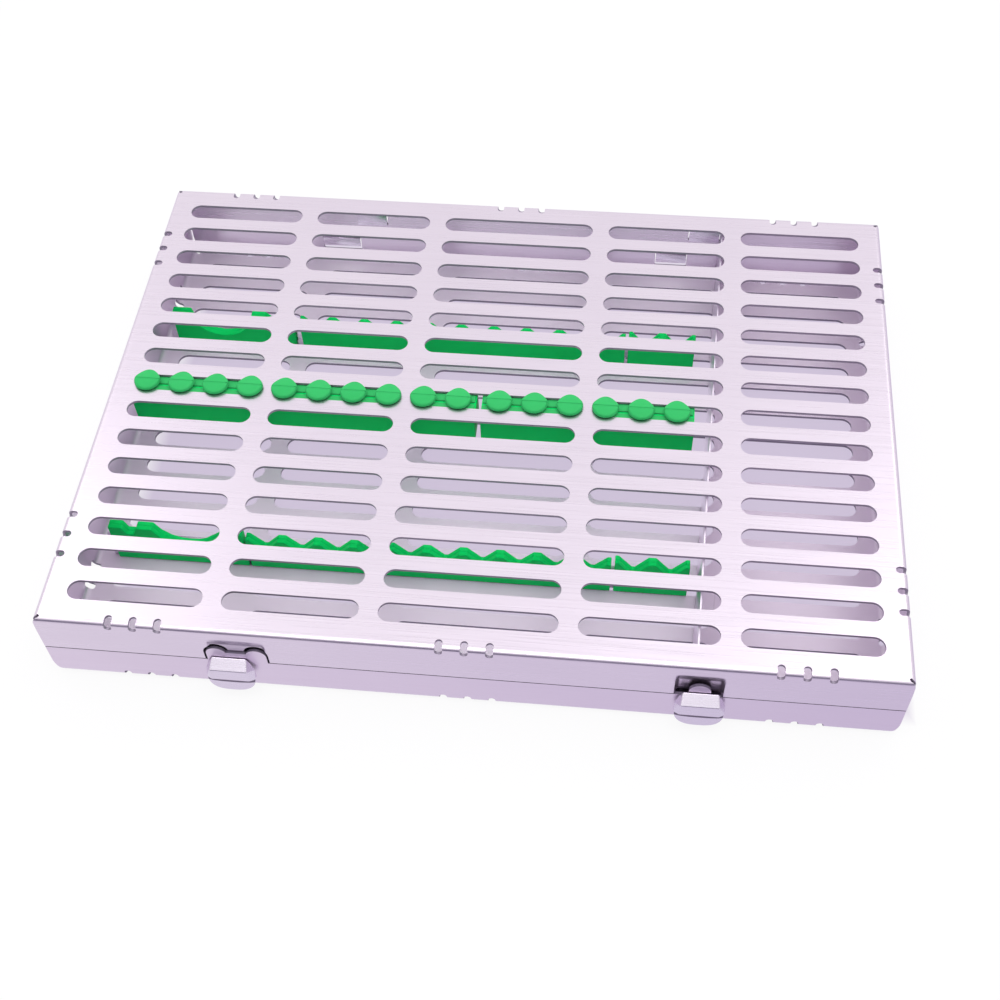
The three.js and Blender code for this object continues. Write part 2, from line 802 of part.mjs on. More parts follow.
// Torsion spring round the latch pin: both legs point down, one to the wall and one to the cover
function spring_path(x) {
  const count = spring_turns * spring_steps_per_turn + spring_steps_per_turn / 2;
  const coil = spring_pitch * (count / spring_steps_per_turn);
  const points = [];
  for (let i = 0; i <= count; i += 1) {
    const turn = (i / spring_steps_per_turn) * Math.PI * 2;
    points.push(new THREE.Vector3(
      x - coil / 2 + (i / spring_steps_per_turn) * spring_pitch,
      spring_radius * Math.cos(turn),
      spring_radius * Math.sin(turn)));
  }
  const first = points[0];
  const last = points[points.length - 1];
  points.unshift(new THREE.Vector3(first.x, first.y, -spring_wall_leg));
  points.push(new THREE.Vector3(last.x, last.y, -spring_latch_leg));
  return points;
}

function least_coil_gap(points) {
  let least = Infinity;
  for (let i = 0; i < points.length; i += 1) {
    for (let j = i + spring_steps_per_turn / 2; j < points.length; j += 1) {
      least = Math.min(least, points[i].distanceTo(points[j]) - 2 * spring_wire_radius);
    }
  }
  return least;
}

function latch_spring(x) {
  const points = spring_path(x);
  const corners = [];
  for (let i = 0; i < spring_sides; i += 1) {
    const turn = (i / spring_sides) * Math.PI * 2;
    corners.push(new THREE.Vector2(
      spring_wire_radius * Math.cos(turn), spring_wire_radius * Math.sin(turn)));
  }
  const geometry = new THREE.ExtrudeGeometry(new THREE.Shape(corners), {
    steps: points.length - 1,
    bevelEnabled: false,
    extrudePath: new THREE.CatmullRomCurve3(points),
  });
  return to_solid(geometry.translate(0, -half_depth - latch_axis_out, latch_axis_z));
}

// Materials

const stainless = new THREE.MeshStandardMaterial({ color: 0xd8d0dc, roughness: 0.35, metalness: 1 });
const spring_steel = new THREE.MeshStandardMaterial({ color: 0xb9b4be, roughness: 0.3, metalness: 1 });
const silicone = new THREE.MeshStandardMaterial({ color: 0x12b057, roughness: 0.55, metalness: 0 });

// Assembly

const cassette = new THREE.Group();
const shells = new THREE.Group();
shells.position.y = (latch_reach - hinge_reach) / 2;
cassette.add(shells);

function add_piece(name, solid, material) {
  const mesh = new THREE.Mesh(to_geometry(solid), material);
  mesh.name = name;
  shells.add(mesh);
  return mesh;
}

add_piece('tray_shell', tray_shell(), stainless);
add_piece('lid_shell', lid_shell(), stainless);

const divider_mesh = add_piece('compartment_divider', divider(), stainless);
divider_mesh.position.x = divider_x;
divider_mesh.rotation.z = -Math.PI * divider_turn_share;

for (const side of ['front', 'back']) {
  const y = side === 'front' ? front_rack_y : back_rack_y;
  const low = sheet + rack_floor_clearance;
  const holder_joint = side === 'front' ? front_holder_joint : back_holder_joint;
  const holder_length = side === 'front' ? front_holder_length : back_holder_length;
  const holder_rise = side === 'front' ? front_holder_rise : back_holder_rise;
  const holder_end = notched_start_x - holder_joint;
  const holder_x = holder_end - holder_length;
  const rail_reach = side === 'front' ? front_rail_reach : back_rail_reach;
  const holder_outline = side === 'front' ? front_holder_outline : back_holder_outline;
  const holder = holder_outline(holder_x, rack_top + holder_rise, low);
  const notched = comb_outline(notched_start_x, notched_cells, rack_top, rack_notch_depth, low);
  const end = comb_outline(
    end_strip_x, end_cells, rack_top + end_strip_rise, end_strip_notch_depth, low);
  add_piece(`${side}_rack_rail`, rack_rail(holder_x, holder_end, rail_reach, y), stainless);
  add_piece(`${side}_rack_holder_strip`, rack_strip(holder, y), silicone);
  add_piece(`${side}_rack_notched_strip`, rack_strip(notched, y), silicone);
  add_piece(`${side}_rack_end_strip`, rack_strip(end, y), silicone);
}

add_piece('left_hold_down_strip',
  hold_down_strip(lid_left_end_x - lid_left_cells * lid_cell, lid_left_cells), silicone);
add_piece('right_hold_down_strip',
  hold_down_strip(lid_right_start_x, lid_right_cells), silicone);

for (const hinge of hinges()) {
  const tray_end = hinge.x - knuckle_gap / 2;
  const lid_start = hinge.x + knuckle_gap / 2;
  add_piece(`${hinge.side}_hinge_tray_strap`,
    hinge_strap(tray_end - hinge.tray_length, tray_end, -1, tray_strap_end), stainless);
  add_piece(`${hinge.side}_hinge_lid_strap`,
    hinge_strap(lid_start, lid_start + lid_strap_length, 1, lid_strap_end), stainless);
  add_piece(`${hinge.side}_hinge_pin`, hinge_pin(hinge), stainless);
}

for (const [side, x] of [['left', left_latch_x], ['right', right_latch_x]]) {
  add_piece(`${side}_latch_bracket`, latch_bracket(x), stainless);
  add_piece(`${side}_latch_plate`, latch_plate(x), stainless);
  add_piece(`${side}_latch_pin`, latch_pin(x), stainless);
  add_piece(`${side}_latch_spring`, latch_spring(x), spring_steel);
}

console.log(`least gap in a latch spring: ${least_coil_gap(spring_path(0)).toFixed(2)} mm`);

export default cassette;
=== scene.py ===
"""Dental instrument cassette, closed, on a pale studio floor.

The folded and perforated shells, the silicone strips and the studs are made here in full detail over the
CAD frame. The small mechanism pieces keep their CAD shapes, some with softened edges.
Lengths are written in millimetres and turned to metres by MM.
"""

import math

import bmesh
import bpy
from mathutils import Matrix, Vector


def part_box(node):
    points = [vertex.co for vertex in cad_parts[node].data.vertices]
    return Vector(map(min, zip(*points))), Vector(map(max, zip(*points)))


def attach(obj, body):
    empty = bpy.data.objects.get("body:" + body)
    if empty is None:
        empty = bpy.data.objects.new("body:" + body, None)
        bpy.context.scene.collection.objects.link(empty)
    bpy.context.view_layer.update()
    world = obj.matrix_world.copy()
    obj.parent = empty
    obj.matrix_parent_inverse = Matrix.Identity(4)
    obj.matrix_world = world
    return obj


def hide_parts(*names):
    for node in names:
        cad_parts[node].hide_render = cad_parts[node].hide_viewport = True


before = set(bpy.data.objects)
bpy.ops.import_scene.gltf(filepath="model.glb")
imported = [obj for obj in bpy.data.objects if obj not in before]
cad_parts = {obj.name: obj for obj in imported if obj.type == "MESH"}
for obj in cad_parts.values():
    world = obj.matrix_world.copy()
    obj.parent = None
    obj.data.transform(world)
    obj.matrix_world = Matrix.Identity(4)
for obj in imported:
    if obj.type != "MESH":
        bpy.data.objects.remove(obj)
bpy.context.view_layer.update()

MM = 0.001

# Sizes of the shells, as in the CAD model
HALF_WIDTH = 140.0
HALF_DEPTH = 102.5
SHEET = 1.0
TRAY_TOP = 16.4
LID_LOW = 16.8
LID_TOP = 33.4
LID_FOLD = 1.8
TRAY_FOLD = 3.5
FOLD_STEPS = 6
PUNCHED_EDGE = 0.12
# A flat strip is cut beside each fold, so that the fold's shading ends there
FLAT_MARGIN = 0.4
# Points of the slotted sheet closer than this are one
SAME_POINT = 0.0005

# The walls' ends are rounded off towards the plate, up to this height. The flat sheet has a round bite in
# each corner, and a small one where the ends are well rounded.
CORNER_RISE = 8.0
CORNER_STEPS = 5
SIDE_GAP = 0.06
LEAST_END = 0.08
WELL_ROUNDED = 2.0
BITE = [(0.05, 0.75), (-0.35, 0.5), (-0.5, 0.0), (0.0, -0.5), (0.5, -0.35), (0.75, 0.05)]
SMALL_BITE = [(0.0, 0.35), (-0.1, -0.1), (0.35, 0.0)]

# Slots and notches
SLOT_ROWS = 15
SLOT_PITCH = 12.85
SLOT_WIDTH = 7.2
SLOT_LENGTH = 45.0
MIDDLE_SLOT_LENGTH = 58.0
SLOT_GAP = 6.2
SLOT_CORNER_STEPS = 7
NOTCH_WIDTH = 2.5
NOTCH_PITCH = 8.1
NOTCH_INWARD = 3.8
NOTCH_STEPS = 8
NOTCH_PLACES_X = (-107, 0, 107)
NOTCH_PLACES_Y = (-68.4, 68.4)

# Windows for the hinges in the back walls, as spans of x and of level
LID_WINDOWS = ((-67.15, -54.65), (66.85, 79.35))
LID_WINDOW_Z = (20.45, 26.25)
TRAY_WINDOWS = ((-82.75, -66.85), (54.35, 67.15))
TRAY_WINDOW_Z = (5.65, 12.85)
WINDOW_CORNER = 0.5

# Front rims: two ears of the tray under two arches of the lid, with a bridge between them, and one tongue
EARS_X = (-81.6, -68.4)
ARCH = 4.1
ARCH_Z = 21.0
ARCH_BRIDGE = 0.6
ARCH_STEPS = 12
EAR = 3.4
EAR_Z = 20.2
EAR_BRIDGE = 1.0
EAR_STEPS = 10
TONGUE = 3.5
TONGUE_X = 75.1
TONGUE_Z = 19.1
TONGUE_STEPS = 14

# Pressed into the lid's front wall, the recess round the tongue and the dent above the arches:
# middle, half width of the floor, half width of the mouth, top, height of the slope, depth
POCKET = (74.7, 6.7, 7.95, 28.7, 5.5, 2.0)
DENT = (-74.3, 8.4, 9.9, 29.0, 3.6, 0.8)
# and the areas that are cut fine for them: x and level from and to, and the grid's step
POCKET_AREA = (66.0, 83.4, LID_LOW, 29.6, 0.42)
DENT_AREA = (-84.6, -64.0, 25.0, 29.6, 0.5)

# The part's middle lies a little in front of the middle of its shells
SHELL_Y = (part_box("tray_shell")[0].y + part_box("tray_shell")[1].y) / 2 / MM


# Colours and materials

def colour(text):
    """An sRGB hex colour as linear red, green, blue and alpha."""
    values = [int(text[i:i + 2], 16) / 255 for i in (1, 3, 5)]
    return [v / 12.92 if v <= 0.04045 else ((v + 0.055) / 1.055) ** 2.4 for v in values] + [1.0]


def add(tree, kind, values=None, **settings):
    """One node with its settings, and its inputs as values or as links from other nodes' outputs."""
    node = tree.nodes.new(kind)
    for name, value in settings.items():
        setattr(node, name, value)
    for key, value in (values or {}).items():
        if isinstance(value, bpy.types.NodeSocket):
            tree.links.new(value, node.inputs[key])
        else:
            node.inputs[key].default_value = value
    return node


def mixed(tree, share, first, second):
    """A mix of two colours, each given as hex or as another node's output."""
    first, second = (colour(end) if isinstance(end, str) else end for end in (first, second))
    return add(tree, "ShaderNodeMix", {0: share, 6: first, 7: second}, data_type="RGBA").outputs[2]


def new_material(name):
    material = bpy.data.materials.new(name)
    material.use_nodes = True
    tree = material.node_tree
    tree.nodes.clear()
    return material, tree


def finish_material(tree, shader):
    add(tree, "ShaderNodeOutputMaterial", {"Surface": shader.outputs[0]})


def painted_crevice_shade(tree, tint, dark, reach):
    """Painted shade: closer than the reach to other metal, the colour turns dark, as shade does in narrow
    gaps.
    """
    openness = add(tree, "ShaderNodeAmbientOcclusion", {"Distance": reach * MM}, samples=6)
    share = add(tree, "ShaderNodeMapRange", {
        "Value": openness.outputs["AO"], "From Min": 0.1, "From Max": 0.58})
    return mixed(tree, share.outputs[0], dark, tint)


def brushed_stainless(name, base, rough, brushing, lit_worn_base=None, worn_metallic=1.0):
    """Brushed stainless sheet (18/10): fine grit lines along the sheet stretch reflections across them.

    The lines of the real brushing are about 0.05 mm apart; they are drawn 0.35 mm apart and 40 mm long so
    that they show. Base colour is the pinkish lavender that the sheet takes from the studio. Where they are
    given, level faces take a smaller metal share, as worn, and a lighter colour, which is painted light.
    """
    material, tree = new_material(name)
    along, across = 25, 2900
    place = add(tree, "ShaderNodeTexCoord")
    normal = add(tree, "ShaderNodeSeparateXYZ", {0: place.outputs["Normal"]})
    on_end = add(tree, "ShaderNodeMath", {0: normal.outputs["X"]}, operation="ABSOLUTE")
    on_end = add(tree, "ShaderNodeMath", {0: on_end.outputs[0], 1: 0.7}, operation="GREATER_THAN")
    along_x, along_y = (
        add(tree, "ShaderNodeMapping", {"Vector": place.outputs["Object"], "Scale": scale})
        for scale in ((along, across, across), (across, along, across)))
    lines = add(tree, "ShaderNodeMix", {
        0: on_end.outputs[0], 4: along_x.outputs[0], 5: along_y.outputs[0]}, data_type="VECTOR")
    grit = add(tree, "ShaderNodeTexNoise", {"Vector": lines.outputs[1], "Scale": 1.0, "Detail": 2.0})
    clouds = add(tree, "ShaderNodeTexNoise", {
        "Vector": place.outputs["Object"], "Scale": 28.0, "Detail": 3.0})
    roughness = add(tree, "ShaderNodeMapRange", {
        "Value": grit.outputs["Fac"], "From Min": 0.3, "From Max": 0.7,
        "To Min": rough - 0.05, "To Max": rough + 0.07})
    tint = mixed(tree, clouds.outputs["Fac"], *base)
    metallic = 1.0
    if lit_worn_base:
        level = add(tree, "ShaderNodeMath", {0: normal.outputs["Z"]}, operation="ABSOLUTE")
        worn_and_lit_share = add(tree, "ShaderNodeMapRange", {"Value": level.outputs[0], "From Min": 0.3, "From Max": 0.8})
        # Painted light: level faces take a lighter colour
        tint = mixed(tree, worn_and_lit_share.outputs[0], tint, lit_worn_base)
        metallic = add(tree, "ShaderNodeMapRange", {
            "Value": worn_and_lit_share.outputs[0], "To Min": 1.0, "To Max": worn_metallic}).outputs[0]
    # Painted shade: the colour turns dark where other metal is close
    tint = painted_crevice_shade(tree, tint, "#75677E", 1.8)
    bump = add(tree, "ShaderNodeBump", {
        "Height": grit.outputs["Fac"], "Strength": brushing, "Distance": 0.02 * MM})
    shader = add(tree, "ShaderNodeBsdfPrincipled", {
        "Base Color": tint, "Metallic": metallic, "Roughness": roughness.outputs[0],
        "Normal": bump.outputs[0]})
    finish_material(tree, shader)
    return material


def sheared_edge(name, base):
    """The edges that the punch and the shear leave: torn grey steel, matt, with streaks 0.2 mm apart, and
    painted shade where other metal is close.
    """
    material, tree = new_material(name)
    place = add(tree, "ShaderNodeTexCoord")
    streaks = add(tree, "ShaderNodeMapping", {"Vector": place.outputs["Object"], "Scale": (5000, 5000, 500)})
    torn = add(tree, "ShaderNodeTexNoise", {"Vector": streaks.outputs[0], "Scale": 1.0, "Detail": 2.0})
    tint = mixed(tree, torn.outputs["Fac"], *base)
    # Painted shade: the edge turns near black where other metal is close
    tint = painted_crevice_shade(tree, tint, "#241D2B", 2.6)
    bump = add(tree, "ShaderNodeBump", {
        "Height": torn.outputs["Fac"], "Strength": 0.4, "Distance": 0.03 * MM})
    shader = add(tree, "ShaderNodeBsdfPrincipled", {
        "Base Color": tint, "Metallic": 0.6, "Roughness": 0.55, "Normal": bump.outputs[0]})
    finish_material(tree, shader)
    return material


def drawn_steel(name, base, rough):
    """Drawn stainless wire and pins: bright, with faint lines along the wire."""
    material, tree = new_material(name)
    place = add(tree, "ShaderNodeTexCoord")
    lines = add(tree, "ShaderNodeMapping", {"Vector": place.outputs["Object"], "Scale": (60, 4000, 4000)})
    grit = add(tree, "ShaderNodeTexNoise", {"Vector": lines.outputs[0], "Scale": 1.0, "Detail": 1.0})
    roughness = add(tree, "ShaderNodeMapRange", {
        "Value": grit.outputs["Fac"], "To Min": rough - 0.06, "To Max": rough + 0.08})
    tint = mixed(tree, grit.outputs["Fac"], *base)
    shader = add(tree, "ShaderNodeBsdfPrincipled", {
        "Base Color": tint, "Metallic": 1.0, "Roughness": roughness.outputs[0]})
    finish_material(tree, shader)
    return material


def moulded_silicone(name, base, rough):
    """Silicone rubber, moulded: satin, a little soft inside, with the mould's eroded grain of 0.25 mm.

    Light that bounces off it is three quarters pale lavender, so it hardly stains the steel round it.
    """
    material, tree = new_material(name)
    place = add(tree, "ShaderNodeTexCoord")
    grain = add(tree, "ShaderNodeTexNoise", {
        "Vector": place.outputs["Object"], "Scale": 4000.0, "Detail": 2.0})
    clouds = add(tree, "ShaderNodeTexNoise", {
        "Vector": place.outputs["Object"], "Scale": 70.0, "Detail": 2.0})
    tint = mixed(tree, clouds.outputs["Fac"], *base)
    light = add(tree, "ShaderNodeLightPath")
    greyed = add(tree, "ShaderNodeMath", {0: light.outputs["Is Diffuse Ray"], 1: 0.75}, operation="MULTIPLY")
    tint = mixed(tree, greyed.outputs[0], tint, "#D6C9DE")
    roughness = add(tree, "ShaderNodeMapRange", {
        "Value": clouds.outputs["Fac"], "To Min": rough - 0.05, "To Max": rough + 0.08})
    bump = add(tree, "ShaderNodeBump", {
        "Height": grain.outputs["Fac"], "Strength": 0.25, "Distance": 0.05 * MM})
    shader = add(tree, "ShaderNodeBsdfPrincipled", {
        "Base Color": tint, "Roughness": roughness.outputs[0], "IOR": 1.41,
        "Specular IOR Level": 0.14, "Subsurface Weight": 0.12, "Subsurface Radius": (0.4, 1.0, 0.5),
        "Subsurface Scale": 1.0 * MM, "Normal": bump.outputs[0]})
    finish_material(tree, shader)
    return material


STAINLESS = brushed_stainless("brushed_stainless_sheet", ("#EBE0ED", "#E5D9E8"), 0.3, 0.22)
# The tray's floor is duller than its walls: fine scratches and drying film scatter part of the light. Its
# level faces are also lighter than its walls: painted light for the floor that the lid shades
TRAY_STAINLESS = brushed_stainless(
    "scuffed_stainless_tray", ("#EADDEC", "#E4D6E8"), 0.34, 0.25, "#FAEDFD", 0.15)
LID_EDGE = sheared_edge("punched_stainless_edge", ("#B8AEBE", "#A096A8"))
# The tray's edges are darker than the lid's: partly painted shade, for the seam under the lid's edge and the
# rims of the ears
TRAY_EDGE = sheared_edge("sheared_stainless_edge", ("#978DA0", "#7D7387"))
# Near black steel for the sheets behind the latch openings: painted shade
SHADE_SHEET_STEEL = sheared_edge("black_steel_for_painted_shade", ("#544B5C", "#433B4A"))
# A dark line on the lip under the cover's edge: painted shade
SHADE_LINE_STEEL = sheared_edge("painted_shade_line", ("#857A8D", "#73687C"))
FITTING_STAINLESS = brushed_stainless("brushed_stainless_fittings", ("#ECE3F1", "#E3DAE9"), 0.27, 0.25)
PIN_STEEL = drawn_steel("drawn_stainless_pin", ("#D2CBD8", "#BDB6C4"), 0.25)
SPRING_STEEL = drawn_steel("drawn_spring_steel", ("#A9A4B0", "#8E8996"), 0.3)
SILICONE = moulded_silicone("moulded_silicone_green", ("#01EC74", "#01E066"), 0.5)
# A paler tone of the same silicone for the studs and the bands between them: painted light, as they catch
# more light than the bar
SILICONE_LIT_COPY = moulded_silicone("moulded_silicone_green_painted_lit", ("#3ABD6A", "#31B361"), 0.45)


# Meshes

def piece_from(mesh, name, material=None):
    """An object for the mesh, in one material, or in those that the mesh has."""
    piece = bpy.data.objects.new(name, mesh)
    bpy.context.scene.collection.objects.link(piece)
    if material:
        mesh.materials.clear()
        mesh.materials.append(material)
    return piece


def as_mesh(bm, name):
    mesh = bpy.data.meshes.new(name)
    bm.to_mesh(mesh)
    bm.free()
    return mesh


def shade_smooth(piece):
    for face in piece.data.polygons:
        face.use_smooth = True


def cut_through(bm, place, normal, near=1e-4):
    """Cuts a whole mesh along a plane."""
    geometry = bm.verts[:] + bm.edges[:] + bm.faces[:]
    bmesh.ops.bisect_plane(bm, geom=geometry, plane_co=place, plane_no=normal, dist=near)


def with_edges(faces):
    """The faces with their edges and corners."""
    parts = set(faces)
    for face in faces:
        parts.update(face.verts)
        parts.update(face.edges)
    return list(parts)


def evaluated(piece, material=None):
    """The piece with its modifiers made real, as a plain mesh of the same name."""
    graph = bpy.context.evaluated_depsgraph_get()
    mesh = bpy.data.meshes.new_from_object(piece.evaluated_get(graph))
    name = piece.name
    bpy.data.objects.remove(piece)
    return piece_from(mesh, name, material)


def soften(piece, width, angle, segments=2):
    """Rounds the sharp edges so that they catch the light."""
    bevel = piece.modifiers.new("softened_edges", "BEVEL")
    bevel.width = width * MM
    bevel.segments = segments
    bevel.limit_method = "ANGLE"
    bevel.angle_limit = math.radians(angle)
    bevel.harden_normals = True
    bevel.use_clamp_overlap = True
    shade_smooth(piece)


def thicken(piece, thickness, rim_material=0):
    """Gives a skin the thickness of its sheet, inwards."""
    wall = piece.modifiers.new("sheet_thickness", "SOLIDIFY")
    wall.thickness = thickness * MM
    wall.offset = -1
    wall.use_even_offset = True
    wall.material_offset_rim = rim_material


def copy_of(node, name):
    """A CAD node's shape with its loose triangles joined and its flat faces made whole."""
    bm = bmesh.new()
    bm.from_mesh(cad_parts[node].data)
    bmesh.ops.remove_doubles(bm, verts=bm.verts, dist=0.002 * MM)
    bmesh.ops.dissolve_limit(bm, angle_limit=math.radians(1), verts=bm.verts, edges=bm.edges)
    return as_mesh(bm, name)


def groove_along(piece, half, depth, above):
    """Presses a narrow groove into the upper faces of a strip, along its middle."""
    bm = bmesh.new()
    bm.from_mesh(piece.data)
    across = [vert.co.y for vert in bm.verts]
    middle = (min(across) + max(across)) / 2
    for offset in (-half, 0, half):
        cut_through(bm, (0, middle + offset * MM, 0), (0, 1, 0), 1e-7)
    for vert in bm.verts:
        if abs(vert.co.y - middle) < 1e-6 and vert.co.z > above * MM:
            vert.co.z -= depth * MM
    bm.to_mesh(piece.data)
    bm.free()
    shade_smooth(piece)
    piece.data.set_sharp_from_angle(angle=math.radians(38))
    even = piece.modifiers.new("even_shading", "WEIGHTED_NORMAL")
    even.keep_sharp = True
    even.weight = 100


def softened_copy(node, name, material, body, width, angle=35, groove=None):
    """A CAD node's shape with rounded edges, which takes the node's place."""
    piece = piece_from(copy_of(node, name), name, material)
    soften(piece, width, angle)
    piece = evaluated(piece, material)
    shade_smooth(piece)
    if groove:
        groove_along(piece, *groove)
        piece = evaluated(piece, material)
    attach(piece, body)
    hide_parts(node)
    return piece


# Perforation of the flat sheets

def perforation_tree(material):
    """Joins the sheet's outline with five columns of round-ended slots, and fills it in."""
    tree = bpy.data.node_groups.new("slotted_sheet", "GeometryNodeTree")
    face = tree.interface
    face.new_socket("Outline", in_out="INPUT", socket_type="NodeSocketGeometry")
    face.new_socket("Rows", in_out="INPUT", socket_type="NodeSocketInt")
    for name in ("Row Pitch", "Slot Width", "Slot Length", "Middle Slot Length", "Slot Gap"):
        face.new_socket(name, in_out="INPUT", socket_type="NodeSocketFloat")
    face.new_socket("Corner Steps", in_out="INPUT", socket_type="NodeSocketInt")
    face.new_socket("Sheet", in_out="OUTPUT", socket_type="NodeSocketGeometry")
    given = add(tree, "NodeGroupInput").outputs

    def value(operation, a, b):
        return add(tree, "ShaderNodeMath", {0: a, 1: b}, operation=operation).outputs[0]

    half_slot = value("MULTIPLY", given["Slot Length"], 0.5)
    half_middle = value("MULTIPLY", given["Middle Slot Length"], 0.5)
    near = value("ADD", value("ADD", half_middle, given["Slot Gap"]), half_slot)
    far = value("ADD", value("ADD", near, given["Slot Gap"]), given["Slot Length"])
    last_row = value("SUBTRACT", given["Rows"], 1.0)
    first_y = value("MULTIPLY", value("MULTIPLY", last_row, given["Row Pitch"]), -0.5)
    corner = value("MULTIPLY", given["Slot Width"], 0.4995)
    step = add(tree, "ShaderNodeCombineXYZ", {"Y": given["Row Pitch"]})
    curves = add(tree, "GeometryNodeMeshToCurve", {0: given["Outline"]})
    joined = add(tree, "GeometryNodeJoinGeometry")
    tree.links.new(curves.outputs[0], joined.inputs[0])
    for place, side in ((far, -1), (near, -1), (near, 0), (near, 1), (far, 1)):
        length = given["Slot Length"] if side or place is far else given["Middle Slot Length"]
        slot = add(tree, "GeometryNodeCurvePrimitiveQuadrilateral", {
            "Width": length, "Height": given["Slot Width"]})
        rounded = add(tree, "GeometryNodeFilletCurve", {
            "Curve": slot.outputs[0], "Radius": corner, "Count": given["Corner Steps"]}, mode="POLY")
        start = add(tree, "ShaderNodeCombineXYZ", {"X": value("MULTIPLY", place, side), "Y": first_y})
        row = add(tree, "GeometryNodeMeshLine", {
            "Count": given["Rows"], "Start Location": start.outputs[0], "Offset": step.outputs[0]},
            mode="OFFSET")
        column = add(tree, "GeometryNodeInstanceOnPoints", {
            "Points": row.outputs[0], "Instance": rounded.outputs[0]})
        tree.links.new(column.outputs[0], joined.inputs[0])
    real = add(tree, "GeometryNodeRealizeInstances", {0: joined.outputs[0]})
    filled = add(tree, "GeometryNodeFillCurve", {0: real.outputs[0]}, mode="TRIANGLES")
    whole = add(tree, "GeometryNodeRealizeInstances", {0: filled.outputs[0]})
    coated = add(tree, "GeometryNodeSetMaterial", {0: whole.outputs[0], "Material": material})
    add(tree, "NodeGroupOutput", {0: coated.outputs[0]})
    return tree


def give_inputs(modifier, values):
    """Sets a modifier's inputs by the identifiers of their sockets."""
    for item in modifier.node_group.interface.items_tree:
        if item.in_out == "INPUT" and item.name in values:
            modifier[item.identifier] = values[item.name]


# Folded sheets

def arc(x, y, radius, start, end, steps):
    """Points of an arc, angles in degrees."""
    return [(x + radius * math.cos(math.radians(start + (end - start) * i / steps)),
             y + radius * math.sin(math.radians(start + (end - start) * i / steps)))
            for i in range(steps + 1)]


